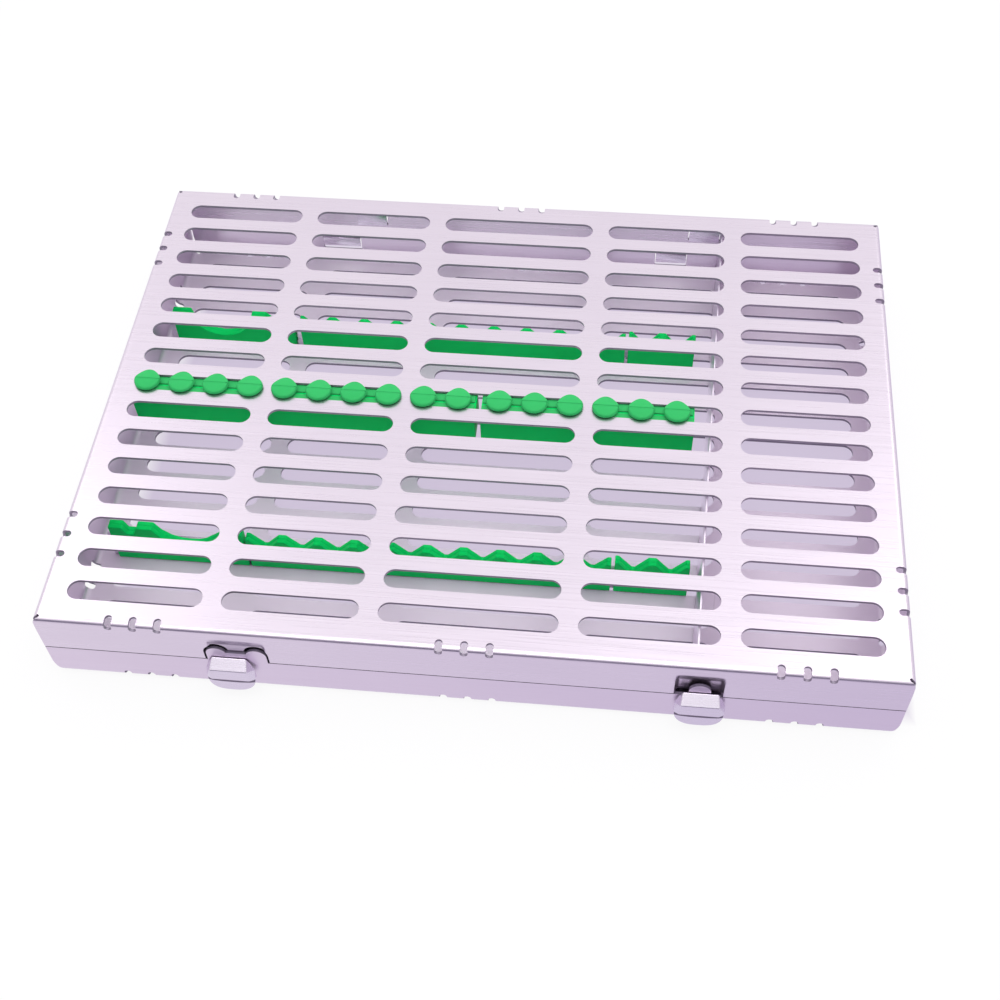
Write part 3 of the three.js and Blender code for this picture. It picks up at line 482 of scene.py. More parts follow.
class Pan:
    """A tray or a lid, drawn flat in millimetres and folded up on its four sides."""

    def __init__(self, plate_z, rim_z, fold, seam, rounding, notch_rise, edge):
        """A pan from its levels and its fold.

        Seam is the gap at the back corners. Rounding is how far the wall ends draw in, first where they
        butt and then where they stand open.
        """
        self.plate_z = plate_z
        self.up = 1 if rim_z > plate_z else -1
        self.height = abs(rim_z - plate_z)
        self.fold = fold
        self.flat_x = HALF_WIDTH - fold
        self.flat_y = HALF_DEPTH - fold
        self.arc_length = math.pi * fold / 2
        self.reach = self.arc_length + self.height - fold
        self.seam = seam
        self.rounding = rounding
        self.notch_rise = notch_rise
        self.edge = edge

    def along(self, z):
        """How far a level on a wall lies from the fold's start, in the flat sheet."""
        drop = abs(z - self.plate_z)
        if drop < self.fold:
            return self.fold * math.acos(1 - drop / self.fold)
        return self.arc_length + drop - self.fold

    def wall_end(self, along, less, rounding):
        """Half length of a wall at a place in the fold, less what its neighbour and the corner take."""
        turn = min(along / self.fold, math.pi / 2)
        drop = self.fold * (1 - math.cos(turn)) + max(0, along - self.arc_length)
        cut = rounding * max(0, 1 - drop / CORNER_RISE) ** 2
        return max(LEAST_END * along, (self.fold - less) * math.sin(turn) - cut)

    def corner(self, butt_front):
        """One corner's points in x and y past the flat: from the front wall's rim to the side wall's rim."""
        side_less = SHEET + SIDE_GAP if butt_front else 0
        front_less = 0 if butt_front else SHEET + self.seam
        rounding = self.rounding[0] if butt_front else self.rounding[1]
        rises = [CORNER_RISE * i / CORNER_STEPS for i in range(CORNER_STEPS, 0, -1)]
        steps = [self.reach] + [self.arc_length + rise for rise in rises]
        steps += [self.arc_length * i / FOLD_STEPS for i in range(FOLD_STEPS, 1, -1)]
        front = [(self.wall_end(s, front_less, rounding), s) for s in steps]
        side = [(s, self.wall_end(s, side_less, rounding)) for s in reversed(steps)]
        return front + (SMALL_BITE if rounding > WELL_ROUNDED else BITE) + side

    def outline(self, rim_points):
        """The sheet's outline, with the front wall's rim given as points of x and level."""
        x, y = self.flat_x, self.flat_y
        front_right = self.corner(True)
        back = self.corner(not self.seam)
        points = [(px, -(y + self.along(z))) for px, z in rim_points]
        points += [(x + a, -(y + b)) for a, b in front_right]
        points += [(x + a, y + b) for a, b in reversed(back)]
        points += [(-(x + a), y + b) for a, b in back]
        points += [(-(x + a), -(y + b)) for a, b in reversed(front_right)]
        return points

    def notches(self):
        """Round-ended notches across the folds, in groups of three."""
        radius = NOTCH_WIDTH / 2
        inner = NOTCH_INWARD - self.fold
        outer = self.along(self.plate_z + self.up * self.notch_rise)
        oval = (arc(0, -inner + radius, radius, 180, 360, NOTCH_STEPS)
                + arc(0, outer - radius, radius, 0, 180, NOTCH_STEPS))
        loops = []
        for i in (-1, 0, 1):
            for side in (-1, 1):
                for x in NOTCH_PLACES_X:
                    loops.append([(x + i * NOTCH_PITCH + a, side * (self.flat_y + b)) for a, b in oval])
                for y in NOTCH_PLACES_Y:
                    loops.append([(side * (self.flat_x + b), y + i * NOTCH_PITCH + a) for a, b in oval])
        return loops

    def window(self, x0, x1, z0, z1):
        """A window in the back wall, with small round corners."""
        low, high = sorted((self.flat_y + self.along(z0), self.flat_y + self.along(z1)))
        r = WINDOW_CORNER
        return (arc(x1 - r, low + r, r, -90, 0, 3) + arc(x1 - r, high - r, r, 0, 90, 3)
                + arc(x0 + r, high - r, r, 90, 180, 3) + arc(x0 + r, low + r, r, 180, 270, 3))

    def folded(self, x, y):
        """Place of a point of the flat sheet once the walls are folded."""
        past_x, past_y = abs(x) - self.flat_x, abs(y) - self.flat_y
        if max(past_x, past_y) <= 0:
            return Vector((x, y, self.plate_z))
        past = max(past_x, past_y)
        turn = min(past / self.fold, math.pi / 2)
        out = self.fold * math.sin(turn)
        drop = self.fold * (1 - math.cos(turn)) + max(0, past - self.arc_length)
        z = self.plate_z + self.up * drop
        if past_y >= past_x:
            return Vector((x, math.copysign(self.flat_y + out, y), z))
        return Vector((math.copysign(self.flat_x + out, x), y, z))

    def build(self, name, loops, tree, material, pressed):
        """Fills the loops, folds and presses the sheet, and gives it its thickness."""
        bm = bmesh.new()
        for loop in loops:
            verts = [bm.verts.new((x, y, 0)) for x, y in loop]
            for a, b in zip(verts, verts[1:] + verts[:1]):
                bm.edges.new((a, b))
        sheet = piece_from(as_mesh(bm, name), name)
        slots = sheet.modifiers.new("slots", "NODES")
        slots.node_group = tree
        give_inputs(slots, {
            "Rows": SLOT_ROWS, "Row Pitch": SLOT_PITCH, "Slot Width": SLOT_WIDTH,
            "Slot Length": SLOT_LENGTH, "Middle Slot Length": MIDDLE_SLOT_LENGTH, "Slot Gap": SLOT_GAP,
            "Corner Steps": SLOT_CORNER_STEPS})
        sheet = evaluated(sheet, material)

        bm = bmesh.new()
        bm.from_mesh(sheet.data)
        bmesh.ops.remove_doubles(bm, verts=bm.verts, dist=SAME_POINT)
        self.crease(bm)
        for area, form in pressed:
            self.refine(bm, *area)
        for vert in bm.verts:
            place = self.folded(vert.co.x, vert.co.y)
            if place.y < -HALF_DEPTH + 0.01:
                place.y += sum(pressed_depth(place.x, place.z, *form) for area, form in pressed)
            vert.co = Vector((place.x, place.y + SHELL_Y, place.z)) * MM
        bmesh.ops.recalc_face_normals(bm, faces=bm.faces)
        top = max(bm.faces, key=lambda face: face.calc_area())
        if top.normal.z * self.up > 0:
            bmesh.ops.reverse_faces(bm, faces=bm.faces)
        bm.to_mesh(sheet.data)
        bm.free()
        sheet.data.materials.append(self.edge)
        thicken(sheet, SHEET, 1)
        soften(sheet, PUNCHED_EDGE, 50)
        sheet = evaluated(sheet)
        shade_smooth(sheet)
        return sheet

    def crease(self, bm):
        """Cuts the flat sheet along the lines where it will bend."""
        lines = [-FLAT_MARGIN] + [self.arc_length * i / FOLD_STEPS for i in range(FOLD_STEPS + 1)]
        lines.append(self.arc_length + FLAT_MARGIN)
        for side in (-1, 1):
            for line in lines:
                cut_through(bm, (0, side * (self.flat_y + line), 0), (0, 1, 0))
                cut_through(bm, (side * (self.flat_x + line), 0, 0), (1, 0, 0))

    def refine(self, bm, x0, x1, z0, z1, step):
        """Cuts an area of the front wall into a fine grid, so that it can be pressed."""
        y0, y1 = sorted((-(self.flat_y + self.along(z0)), -(self.flat_y + self.along(z1))))
        near = 2
        past_fold = -self.flat_y - self.arc_length + 0.5

        def wall():
            return [f for f in bm.faces if max(v.co.y for v in f.verts) < past_fold]

        def inside():
            return [f for f in bm.faces
                    if all(x0 - near < v.co.x < x1 + near and y0 - near < v.co.y < y1 + near
                           for v in f.verts)
                    or (x0 < f.calc_center_median().x < x1 and y0 < f.calc_center_median().y < y1)]

        def cut(faces, place, normal):
            bmesh.ops.bisect_plane(bm, geom=with_edges(faces), plane_co=place, plane_no=normal, dist=1e-4)

        for x in (x0, x1):
            cut(wall(), (x, 0, 0), (1, 0, 0))
        for y in (y0, y1):
            cut(wall(), (0, y, 0), (0, 1, 0))
        columns, rows = round((x1 - x0) / step), round((y1 - y0) / step)
        for i in range(1, columns):
            cut(inside(), (x0 + (x1 - x0) * i / columns, 0, 0), (1, 0, 0))
        for i in range(1, rows):
            cut(inside(), (0, y0 + (y1 - y0) * i / rows, 0), (0, 1, 0))


def eased(value, start, end):
    """0 before start, 1 after end, and a smooth step between them."""
    t = min(1, max(0, (value - start) / (end - start)))
    return t * t * (3 - 2 * t)


def pressed_depth(x, z, middle, floor_half, mouth_half, top, slope, depth):
    """How far a place of the front wall is pressed in: a slope below the top, and sides that ease out."""
    across = 1 - eased(abs(x - middle), floor_half, mouth_half)
    return depth * across * min(1, max(0, (top - z) / slope))


perforation = perforation_tree(STAINLESS)

# Lid: its front rim goes round two arches with a bridge between them
arch_turn = math.degrees(math.asin(ARCH_BRIDGE / ARCH))
lid = Pan(LID_TOP, LID_LOW, LID_FOLD, seam=0, rounding=(0.3, 3.0), notch_rise=3.0, edge=LID_EDGE)
lid_rim = ([(EARS_X[0] - ARCH, LID_LOW)]
           + arc(EARS_X[0], ARCH_Z, ARCH, 180, arch_turn, ARCH_STEPS)
           + arc(EARS_X[1], ARCH_Z, ARCH, 180 - arch_turn, 0, ARCH_STEPS)
           + [(EARS_X[1] + ARCH, LID_LOW)])
lid_loops = [lid.outline(lid_rim)] + lid.notches() + [
    lid.window(*span, *LID_WINDOW_Z) for span in LID_WINDOWS]
lid_piece = lid.build("perforated_lid", lid_loops, perforation, STAINLESS,
                      ((POCKET_AREA, POCKET), (DENT_AREA, DENT)))
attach(lid_piece, "lid")
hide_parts("lid_shell")

# Tray: its front rim rises into two ears with a bridge, and into one tongue
ear_turn = math.degrees(math.asin(EAR_BRIDGE / EAR))
tray = Pan(0, TRAY_TOP, TRAY_FOLD, seam=0.7, rounding=(3.0, 3.0), notch_rise=4.2, edge=TRAY_EDGE)
tray_rim = ([(EARS_X[0] - EAR, TRAY_TOP)]
            + arc(EARS_X[0], EAR_Z, EAR, 180, ear_turn, EAR_STEPS)
            + arc(EARS_X[1], EAR_Z, EAR, 180 - ear_turn, 0, EAR_STEPS)
            + [(EARS_X[1] + EAR, TRAY_TOP), (TONGUE_X - TONGUE, TRAY_TOP)]
            + arc(TONGUE_X, TONGUE_Z, TONGUE, 180, 0, TONGUE_STEPS)
            + [(TONGUE_X + TONGUE, TRAY_TOP)])
tray_loops = [tray.outline(tray_rim)] + tray.notches() + [
    tray.window(*span, *TRAY_WINDOW_Z) for span in TRAY_WINDOWS]
tray_piece = tray.build("perforated_tray", tray_loops, perforation, TRAY_STAINLESS, ())
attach(tray_piece, "tray")
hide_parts("tray_shell")


# Hold-down strips: the studs are buttoned through the middle row of slots

STUD_PITCH = 12.6
STUD_SIDES = 40
BAR_LOW = 19.05
BAR_TOP = 31.6
BAR_HALF = 6.5
SCALLOP_RISE = 1.6
TOOTH_LEFT = 1.5
TOOTH_RIGHT = 1.3
OUTER_CUT = 1.3
# How far studs and bands reach down into the bar
ROOT = 0.3
# Bands on the bar, front and back: middle and width in y, and top
BANDS = ((-2.3, 2.4, 32.9), (2.0, 3.1, 32.3))
BAND_IN_SLOT = 2.4
BAND_IN_BAR = 0.4
HEAD_LOW = 33.55
HEAD_TOP = 35.75
HEAD_RADIUS = 4.75
STEM_RADIUS = 2.2
# The head's top: how its back sides are flattened, a slit along its middle, a raised ledge in front of the
# slit, and how steeply it falls away behind and in front of them
HEAD_FLATNESS = 0.07
HEAD_SKIN = 1.0
SLIT = 0.2
SLIT_DEPTH = 0.75
LEDGE = 0.75
LEDGE_RISE = 0.26
FALL_BEHIND = 0.18
FALL_IN_FRONT = 0.08
# The stud's profile from the stem up, as radius and level
STUD_PROFILE = (
    (STEM_RADIUS, BAR_TOP - ROOT), (STEM_RADIUS, HEAD_LOW), (4.35, HEAD_LOW), (HEAD_RADIUS, HEAD_LOW + 0.5),
    (4.72, HEAD_LOW + 1.1), (4.4, HEAD_TOP - 0.45), (3.9, HEAD_TOP - 0.28))


def stud_mesh():
    """One stud: a stem, and a thick head whose top is split by a thin slit and falls away behind it."""
    bm = bmesh.new()
    rings = []
    for radius, z in STUD_PROFILE:
        ring = []
        for i in range(STUD_SIDES):
            turn = 2 * math.pi * (i + 0.5) / STUD_SIDES
            flattened = math.sin(turn) > 0 and radius > STEM_RADIUS
            flat = HEAD_FLATNESS * math.sin(2 * turn) ** 2 if flattened else 0
            x, y = radius * (1 - flat) * math.cos(turn), radius * (1 - flat) * math.sin(turn)
            ring.append(bm.verts.new((x, y, z)))
        rings.append(ring)
    for low, high in zip(rings, rings[1:]):
        for i in range(STUD_SIDES):
            j = (i + 1) % STUD_SIDES
            bm.faces.new((low[i], low[j], high[j], high[i]))
    bm.faces.new(rings[-1])
    bm.faces.new(list(reversed(rings[0])))
    for y in (-LEDGE, -SLIT, 0, SLIT):
        cut_through(bm, (0, y, 0), (0, 1, 0))
    for vert in [vert for vert in bm.verts if vert.co.z > HEAD_TOP - HEAD_SKIN]:
        if abs(vert.co.y) < 0.01:
            vert.co.z -= SLIT_DEPTH
        elif vert.co.y > 0:
            vert.co.z -= FALL_BEHIND * (vert.co.y - SLIT)
        elif vert.co.y > -SLIT - 0.01:
            vert.co.z += LEDGE_RISE
        else:
            vert.co.z -= FALL_IN_FRONT * (abs(vert.co.y) - LEDGE)
    for vert in bm.verts:
        vert.co = Vector((vert.co.x, vert.co.y + SHELL_Y, vert.co.z)) * MM
    return as_mesh(bm, "stud")


def row_tree(material):
    """Repeats the piece that is given along X."""
    tree = bpy.data.node_groups.new("row_of_studs", "GeometryNodeTree")
    face = tree.interface
    face.new_socket("Stud", in_out="INPUT", socket_type="NodeSocketGeometry")
    face.new_socket("Count", in_out="INPUT", socket_type="NodeSocketInt")
    face.new_socket("First Place", in_out="INPUT", socket_type="NodeSocketFloat")
    face.new_socket("Pitch", in_out="INPUT", socket_type="NodeSocketFloat")
    face.new_socket("Studs", in_out="OUTPUT", socket_type="NodeSocketGeometry")
    given = add(tree, "NodeGroupInput").outputs
    start = add(tree, "ShaderNodeCombineXYZ", {"X": given["First Place"]})
    step = add(tree, "ShaderNodeCombineXYZ", {"X": given["Pitch"]})
    line = add(tree, "GeometryNodeMeshLine", {
        "Count": given["Count"], "Start Location": start.outputs[0], "Offset": step.outputs[0]},
        mode="OFFSET")
    row = add(tree, "GeometryNodeInstanceOnPoints", {"Points": line.outputs[0], "Instance": given["Stud"]})
    whole = add(tree, "GeometryNodeRealizeInstances", {0: row.outputs[0]})
    coated = add(tree, "GeometryNodeSetMaterial", {0: whole.outputs[0], "Material": material})
    add(tree, "NodeGroupOutput", {0: coated.outputs[0]})
    return tree


# The studs take the paler tone of the silicone: painted light
stud_row = row_tree(SILICONE_LIT_COPY)


def cut_strip(name, outline, y0, y1, material, width):
    """A strip cut to an outline in x and z, with rounded edges."""
    bm = bmesh.new()
    front = [bm.verts.new((x * MM, y0 * MM, z * MM)) for x, z in outline]
    back = [bm.verts.new((x * MM, y1 * MM, z * MM)) for x, z in outline]
    count = len(outline)
    bm.faces.new(front)
    bm.faces.new(list(reversed(back)))
    for i in range(count):
        j = (i + 1) % count
        bm.faces.new((front[j], front[i], back[i], back[j]))
    bmesh.ops.recalc_face_normals(bm, faces=bm.faces)
    piece = piece_from(as_mesh(bm, name), name, material)
    soften(piece, width, 25, 3)
    return evaluated(piece, material)


def bands_between_studs(name, x0, x1):
    """Two bands of the bar stand up into each slot, the front one higher, with a groove between them."""
    bm = bmesh.new()
    far = MIDDLE_SLOT_LENGTH / 2 + SLOT_GAP + SLOT_LENGTH
    columns = [(-far - SLOT_GAP - SLOT_LENGTH, -far - SLOT_GAP), (-far, SLOT_LENGTH - far),
               (-MIDDLE_SLOT_LENGTH / 2, MIDDLE_SLOT_LENGTH / 2), (far - SLOT_LENGTH, far)]
    for a, b in columns:
        low, high = max(x0 + BAND_IN_BAR, a + BAND_IN_SLOT), min(x1 - BAND_IN_BAR, b - BAND_IN_SLOT)
        for y, width, top in BANDS if high - low > 2 else ():
            middle = Vector(((low + high) / 2, SHELL_Y + y, (BAR_TOP + top - ROOT) / 2)) * MM
            size = Vector((high - low, width, top - BAR_TOP + ROOT)) * MM
            bmesh.ops.create_cube(bm, size=1.0, matrix=Matrix.Translation(middle)
                                  @ Matrix.Diagonal((*size, 1.0)))
    # The bands take the paler tone of the silicone: painted light
    piece = piece_from(as_mesh(bm, name), name, SILICONE_LIT_COPY)
    soften(piece, 0.25, 30)
    return evaluated(piece, SILICONE_LIT_COPY)


def hold_down(side, count):
    """A bar with a scallop under each stud; the left bar is cut back a little at its outer end."""
    x0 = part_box(f"{side}_hold_down_strip")[0].x / MM
    x1 = x0 + count * STUD_PITCH
    start = x0 + (OUTER_CUT if side == "left" else 0)
    outline = [(start, BAR_TOP), (start, BAR_LOW)]
    for i in range(count):
        left = x0 + i * STUD_PITCH
        outline += [(left + TOOTH_LEFT, BAR_LOW), (left + STUD_PITCH / 2, BAR_LOW + SCALLOP_RISE),
                    (left + STUD_PITCH - TOOTH_RIGHT, BAR_LOW)]
    outline += [(x1, BAR_LOW), (x1, BAR_TOP)]
    strip = cut_strip(f"{side}_hold_down_strip_body", outline, SHELL_Y - BAR_HALF, SHELL_Y + BAR_HALF,
                      SILICONE, 0.3)
    studs = piece_from(stud_mesh(), f"{side}_hold_down_studs")
    row = studs.modifiers.new("row", "NODES")
    row.node_group = stud_row
    give_inputs(row, {"Count": count, "First Place": (x0 + STUD_PITCH / 2) * MM, "Pitch": STUD_PITCH * MM})
    studs = evaluated(studs, SILICONE_LIT_COPY)
    soften(studs, 0.12, 40)
    studs = evaluated(studs, SILICONE_LIT_COPY)
    bands = bands_between_studs(f"{side}_hold_down_bands", x0, x1)
    for piece in (strip, studs, bands):
        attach(piece, "lid")
    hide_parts(f"{side}_hold_down_strip")


hold_down("left", 10)
hold_down("right", 6)

# Rack strips and small pieces with softened edges
GROOVE_HALF = 0.22
GROOVE_DEPTH = 0.7
GROOVE_ABOVE = 8.0
for side in ("front", "back"):
    for kind in ("holder", "notched", "end"):
        softened_copy(f"{side}_rack_{kind}_strip", f"{side}_{kind}_strip_moulded", SILICONE,
                      "tray", 0.3, 25, (GROOVE_HALF, GROOVE_DEPTH, GROOVE_ABOVE))
    softened_copy(f"{side}_rack_rail", f"{side}_rail_folded", FITTING_STAINLESS, "tray",
                  0.1)

softened_copy("compartment_divider", "divider_plate", TRAY_STAINLESS, "tray", 0.3)
for side in ("left", "right"):
    for node, name, body, width in (("hinge_tray_strap", "tray_strap", "tray", 0.06),
                                    ("hinge_lid_strap", "lid_strap", "lid", 0.06),
                                    ("latch_bracket", "latch_base", "tray", 0.1)):
        softened_copy(f"{side}_{node}", f"{side}_{name}", FITTING_STAINLESS, body, width)

# Latch covers: corners as half width, distance out from the front wall, and level
COVER_TOP = (5.7, 0.25, 18.6)
COVER_SHOULDER = (6.9, 0.35, 16.4)
COVER_BEND = (6.2, 4.2, 16.2)
COVER_FACE = (6.4, 4.2, 10.6)
CHEEK_TOP = (8.2, 1.2, 13.6)
CHEEK_FRONT = (8.2, 2.9, 9.9)
CHEEK_BACK = (8.2, 1.2, 9.9)
COVER_FACETS = [
    (COVER_TOP, COVER_SHOULDER, COVER_BEND), (COVER_SHOULDER, CHEEK_TOP, COVER_BEND),
    (COVER_BEND, CHEEK_TOP, CHEEK_FRONT), (COVER_BEND, CHEEK_FRONT, COVER_FACE),
    (CHEEK_TOP, CHEEK_BACK, CHEEK_FRONT)]
LIP_HALF = 7.9
LIP_TOP = 10.9
LIP_ROOT = 9.9
LIP_LOW = 4.8
LIP_SHOULDER = 0.4
LIP_OUT = 3.3
LIP_LEAN = 1.2
LIP_BOW = 0.5
LIP_SQUARENESS = 2.6
LIP_STEPS = 28
LIP_ROWS = 6
LIP_COLUMNS = (-6, -3, 0, 3, 6)
SHADE_LINE_LOW = 8.62
LATCH_SHEET = 0.7


def turned_forwards(bm):
    """Turns a skin's faces so that they look out of the front wall."""
    bmesh.ops.recalc_face_normals(bm, faces=bm.faces)
    if sum(face.normal.y for face in bm.faces) > 0:
        bmesh.ops.reverse_faces(bm, faces=bm.faces)
    return bm


def cover_skin(x):
    """The cover's outer skin: a slope, a face below it, and a faceted cheek at each end."""
    bm = bmesh.new()
    front = SHELL_Y - HALF_DEPTH

    def corner(side, point):
        half, out, z = point
        return bm.verts.new(Vector((x + side * half, front - out, z)) * MM)

    for upper, lower in ((COVER_TOP, COVER_BEND), (COVER_BEND, COVER_FACE)):
        bm.faces.new([corner(-1, lower), corner(1, lower), corner(1, upper), corner(-1, upper)])
    for side in (-1, 1):
        for facet in COVER_FACETS:
            bm.faces.new([corner(side, point) for point in facet])
    bmesh.ops.remove_doubles(bm, verts=bm.verts, dist=0.01 * MM)
    return turned_forwards(bm)


def finger_lip_skin(x):
    """The lip's front skin: a half-moon that comes out from behind the cover and leans forward.

    Its top band, under the cover's edge, is cut off at its own level to take a painted shade line.
    """
    bm = bmesh.new()
    front = SHELL_Y - HALF_DEPTH
    power = 2 / LIP_SQUARENESS
    outline = [(-LIP_HALF + LIP_SHOULDER, LIP_TOP)]
    for i in range(LIP_STEPS + 1):
        turn = math.pi * i / LIP_STEPS
        across = math.copysign(abs(math.cos(turn)) ** power, math.cos(turn))
        outline.append((-LIP_HALF * across, LIP_ROOT - (LIP_ROOT - LIP_LOW) * math.sin(turn) ** power))
    outline.append((LIP_HALF - LIP_SHOULDER, LIP_TOP))
    bm.faces.new([bm.verts.new((x + a, 0, z)) for a, z in outline])
    for z in [LIP_TOP + (LIP_LOW - LIP_TOP) * i / LIP_ROWS for i in range(1, LIP_ROWS)] + [SHADE_LINE_LOW]:
        cut_through(bm, (0, 0, z), (0, 0, 1))
    for a in LIP_COLUMNS:
        cut_through(bm, (x + a, 0, 0), (1, 0, 0))
    for vert in bm.verts:
        share = (LIP_TOP - vert.co.z) / (LIP_TOP - LIP_LOW)
        out = LIP_OUT + share ** LIP_LEAN - LIP_BOW * abs((vert.co.x - x) / LIP_HALF) ** 4
        vert.co = Vector((vert.co.x, front - out, vert.co.z)) * MM
    return turned_forwards(bm)


def latch_cover(side, x):
    """The cover and the finger lip of one latch; the lip's top band is dark, a painted shade line under the
    cover's edge.
    """
    skins = ((cover_skin(x), f"{side}_latch_cover", 0.45, 12),
             (finger_lip_skin(x), f"{side}_finger_lip", 0.2, 40))
    for bm, name, rounding, angle in skins:
        piece = piece_from(as_mesh(bm, name), name, FITTING_STAINLESS)
        piece.data.materials.append(SHADE_LINE_STEEL)
        for face in piece.data.polygons:
            # The lip's top band takes the painted shade line
            if name.endswith("lip") and face.center.z > SHADE_LINE_LOW * MM:
                face.material_index = 1
        thicken(piece, LATCH_SHEET)
        soften(piece, rounding, angle, 3)
        piece = evaluated(piece)
        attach(piece, f"{side}_latch")
        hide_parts(f"{side}_latch_plate")


latch_cover("left", -77.7)
latch_cover("right", 75.5)


def guard_strip(side, x, half, inward, low, high):
    """A near black sheet behind a latch's opening, where there is only shade: it paints the black shade seen
    through the gaps round the ears and the tongue.
    """
    corner = 3.0
    thickness = 0.6
    outline = ([(x - half, low), (x + half, low)]
               + arc(x + half - corner, high - corner, corner, 0, 90, 6)
               + arc(x - half + corner, high - corner, corner, 90, 180, 6))
    y = SHELL_Y - HALF_DEPTH + inward
    piece = cut_strip(f"{side}_guard_strip", outline, y, y + thickness, SHADE_SHEET_STEEL, 0.12)
    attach(piece, "tray")


# Sheets behind the latch openings, near black: painted shade
guard_strip("left", x=-75.0, half=12.0, inward=2.4, low=1.5, high=25.6)
guard_strip("right", x=74.7, half=8.6, inward=3.6, low=1.15, high=21.0)

# CAD nodes that keep their shape take a material by name
for name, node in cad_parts.items():
    if name.endswith("_pin"):
        material = PIN_STEEL
    elif name.endswith("_spring"):
        material = SPRING_STEEL
    elif "strip" in name:
        material = SILICONE
    else:
        material = FITTING_STAINLESS
    for place in node.material_slots:
        place.material = material


# Floor, light and camera

# Where the painted shadow under the cassette ends: axis, painted shadow up to here, white from here
PAINTED_SHADOW_EDGES = (("X", 14 - HALF_WIDTH, 4 - HALF_WIDTH), ("X", HALF_WIDTH + 2, HALF_WIDTH + 7),
              ("Y", 14 - HALF_DEPTH, 4 - HALF_DEPTH), ("Y", HALF_DEPTH + 5, HALF_DEPTH + 12))
FLOOR_HALF = 6.0
FLOOR_DROP = 0.3


def studio_floor():
    """A pale matt board: it looks white to the camera and to the steel, and keeps the cassette's shadow.

    Under the cassette its glow is pale lavender: a painted shadow, seen through the slots.
    """
    material, tree = new_material("matt_white_board")
    light = add(tree, "ShaderNodeLightPath")
    by_camera = add(tree, "ShaderNodeMath", {
        0: light.outputs["Is Camera Ray"], 1: 0.9}, operation="MULTIPLY")
    amount = add(tree, "ShaderNodeMath", {
        0: by_camera.outputs[0], 1: light.outputs["Is Glossy Ray"]}, operation="MAXIMUM")
    place = add(tree, "ShaderNodeTexCoord")
    part = add(tree, "ShaderNodeSeparateXYZ", {0: place.outputs["Object"]})
    out_of_painted_shadow = add(tree, "ShaderNodeValue")
    for axis, start, end in PAINTED_SHADOW_EDGES:
        past = add(tree, "ShaderNodeMapRange", {
            "Value": part.outputs[axis], "From Min": start * MM, "From Max": end * MM})
        out_of_painted_shadow = add(tree, "ShaderNodeMath", {
            0: out_of_painted_shadow.outputs[0], 1: past.outputs[0]}, operation="MAXIMUM")
    # Painted shadow: the glow is pale lavender under the cassette
    glow_colour = mixed(tree, out_of_painted_shadow.outputs[0], "#D0C4DB", "#FFFFFF")
    # Painted reflection: as the steel sees it, the floor's glow darkens a little towards the right
    towards_right = add(tree, "ShaderNodeMapRange", {
        "Value": part.outputs["X"], "From Min": -HALF_WIDTH * MM, "From Max": HALF_WIDTH * MM})
    painted_reflection_tint = mixed(tree, towards_right.outputs[0], "#EFECF4", "#DDD7E8")
    glow_colour = mixed(tree, light.outputs["Is Glossy Ray"], glow_colour, painted_reflection_tint)
    paper = add(tree, "ShaderNodeBsdfDiffuse", {"Color": colour("#F4F2F5"), "Roughness": 0.5})
    glow = add(tree, "ShaderNodeEmission", {"Color": glow_colour, "Strength": 1.0})
    shader = add(tree, "ShaderNodeMixShader", {
        0: amount.outputs[0], 1: paper.outputs[0], 2: glow.outputs[0]})
    finish_material(tree, shader)
    bm = bmesh.new()
    corners = ((-1, -1), (1, -1), (1, 1), (-1, 1))
    bm.faces.new([bm.verts.new((x * FLOOR_HALF, y * FLOOR_HALF, -FLOOR_DROP * MM)) for x, y in corners])
    floor = piece_from(as_mesh(bm, "studio_floor"), "studio_floor", material)


def soft_box(name, place, target, size, power):
    lamp = bpy.data.lights.new(name, "AREA")
    lamp.shape = "RECTANGLE"
    lamp.size, lamp.size_y = size
    lamp.energy = power
    holder = bpy.data.objects.new(name, lamp)
    holder.location = place
    holder.rotation_euler = (Vector(target) - Vector(place)).to_track_quat("-Z", "Y").to_euler()
    bpy.context.scene.collection.objects.link(holder)


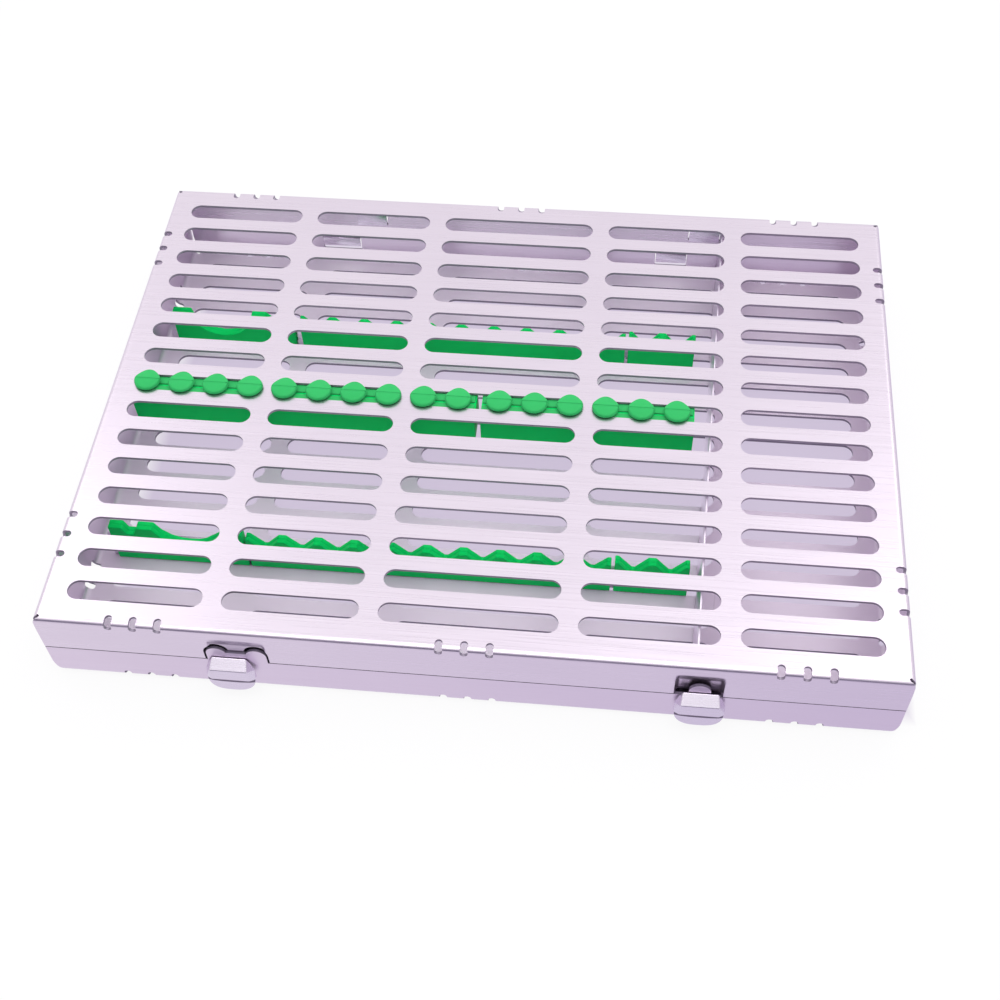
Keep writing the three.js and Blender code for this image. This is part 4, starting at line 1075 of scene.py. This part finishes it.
def studio_world():
    """A white room, darker low down in front, where the steel's front walls look."""
    world = bpy.data.worlds.new("studio_room")
    bpy.context.scene.world = world
    world.use_nodes = True
    tree = world.node_tree
    tree.nodes.clear()
    light = add(tree, "ShaderNodeLightPath")
    place = add(tree, "ShaderNodeTexCoord")
    level = add(tree, "ShaderNodeSeparateXYZ", {0: place.outputs["Generated"]})
    in_front = add(tree, "ShaderNodeMapRange", {
        "Value": level.outputs["Y"], "From Min": -0.3, "From Max": -0.55})
    low = add(tree, "ShaderNodeMapRange", {
        "Value": level.outputs["Z"], "From Min": 0.66, "From Max": 0.5})
    dark_part = add(tree, "ShaderNodeMath", {
        0: in_front.outputs[0], 1: low.outputs[0]}, operation="MULTIPLY")
    walls = add(tree, "ShaderNodeMapRange", {"Value": dark_part.outputs[0], "To Min": 0.92, "To Max": 0.25})
    wall_colour = mixed(tree, dark_part.outputs[0], "#FFFFFF", "#C9BEE8")
    seen_colour = mixed(tree, light.outputs["Is Camera Ray"], wall_colour, "#FFFFFF")
    strength = add(tree, "ShaderNodeMix", {
        0: light.outputs["Is Camera Ray"], 2: walls.outputs[0], 3: 1.0}, data_type="FLOAT")
    background = add(tree, "ShaderNodeBackground", {
        "Color": seen_colour, "Strength": strength.outputs[0]})
    add(tree, "ShaderNodeOutputWorld", {"Surface": background.outputs[0]})


def photo_camera():
    """Stands where the photograph was taken from, to the front and above, with a normal lens.

    Its turn and place come from a fit to the corners and slots in the photograph. The rows of the turn are
    the camera's right, down and forwards, and the place is in millimetres.
    """
    turn = Matrix((
        (0.9948333373871044, 0.09857935946009878, -0.024263979716269646),
        (0.06511571945536147, -0.8029567524986169, -0.5924697432752875),
        (-0.07788821414723522, 0.5878286855073602, -0.8052272117804035)))
    lens = bpy.data.cameras.new("photo_camera")
    lens.sensor_width = 36.0
    lens.lens = 51.46
    lens.clip_start = 0.01
    place = Vector((43.29284430268775, -326.53833743626717, 422.23773519802444)) * MM
    camera = bpy.data.objects.new("photo_camera", lens)
    flip = Matrix(((1, 0, 0), (0, -1, 0), (0, 0, -1)))
    camera.matrix_world = Matrix.Translation(place) @ (turn.transposed() @ flip).to_4x4()
    bpy.context.scene.collection.objects.link(camera)
    bpy.context.scene.camera = camera


studio_floor()
studio_world()
soft_box("back_left_softbox", (-0.95, 0.55, 1.27), (-0.12, -0.09, 0.03), (0.7, 0.5), 1.6)
soft_box("back_right_softbox", (0.75, 0.75, 1.27), (0.13, -0.05, 0.03), (0.4, 0.7), 1.4)
soft_box("overhead_softbox", (0.1, -0.15, 1.55), (0, 0, 0.02), (1.5, 0.8), 10.5)
photo_camera()
bpy.context.scene.view_settings.view_transform = "Standard"
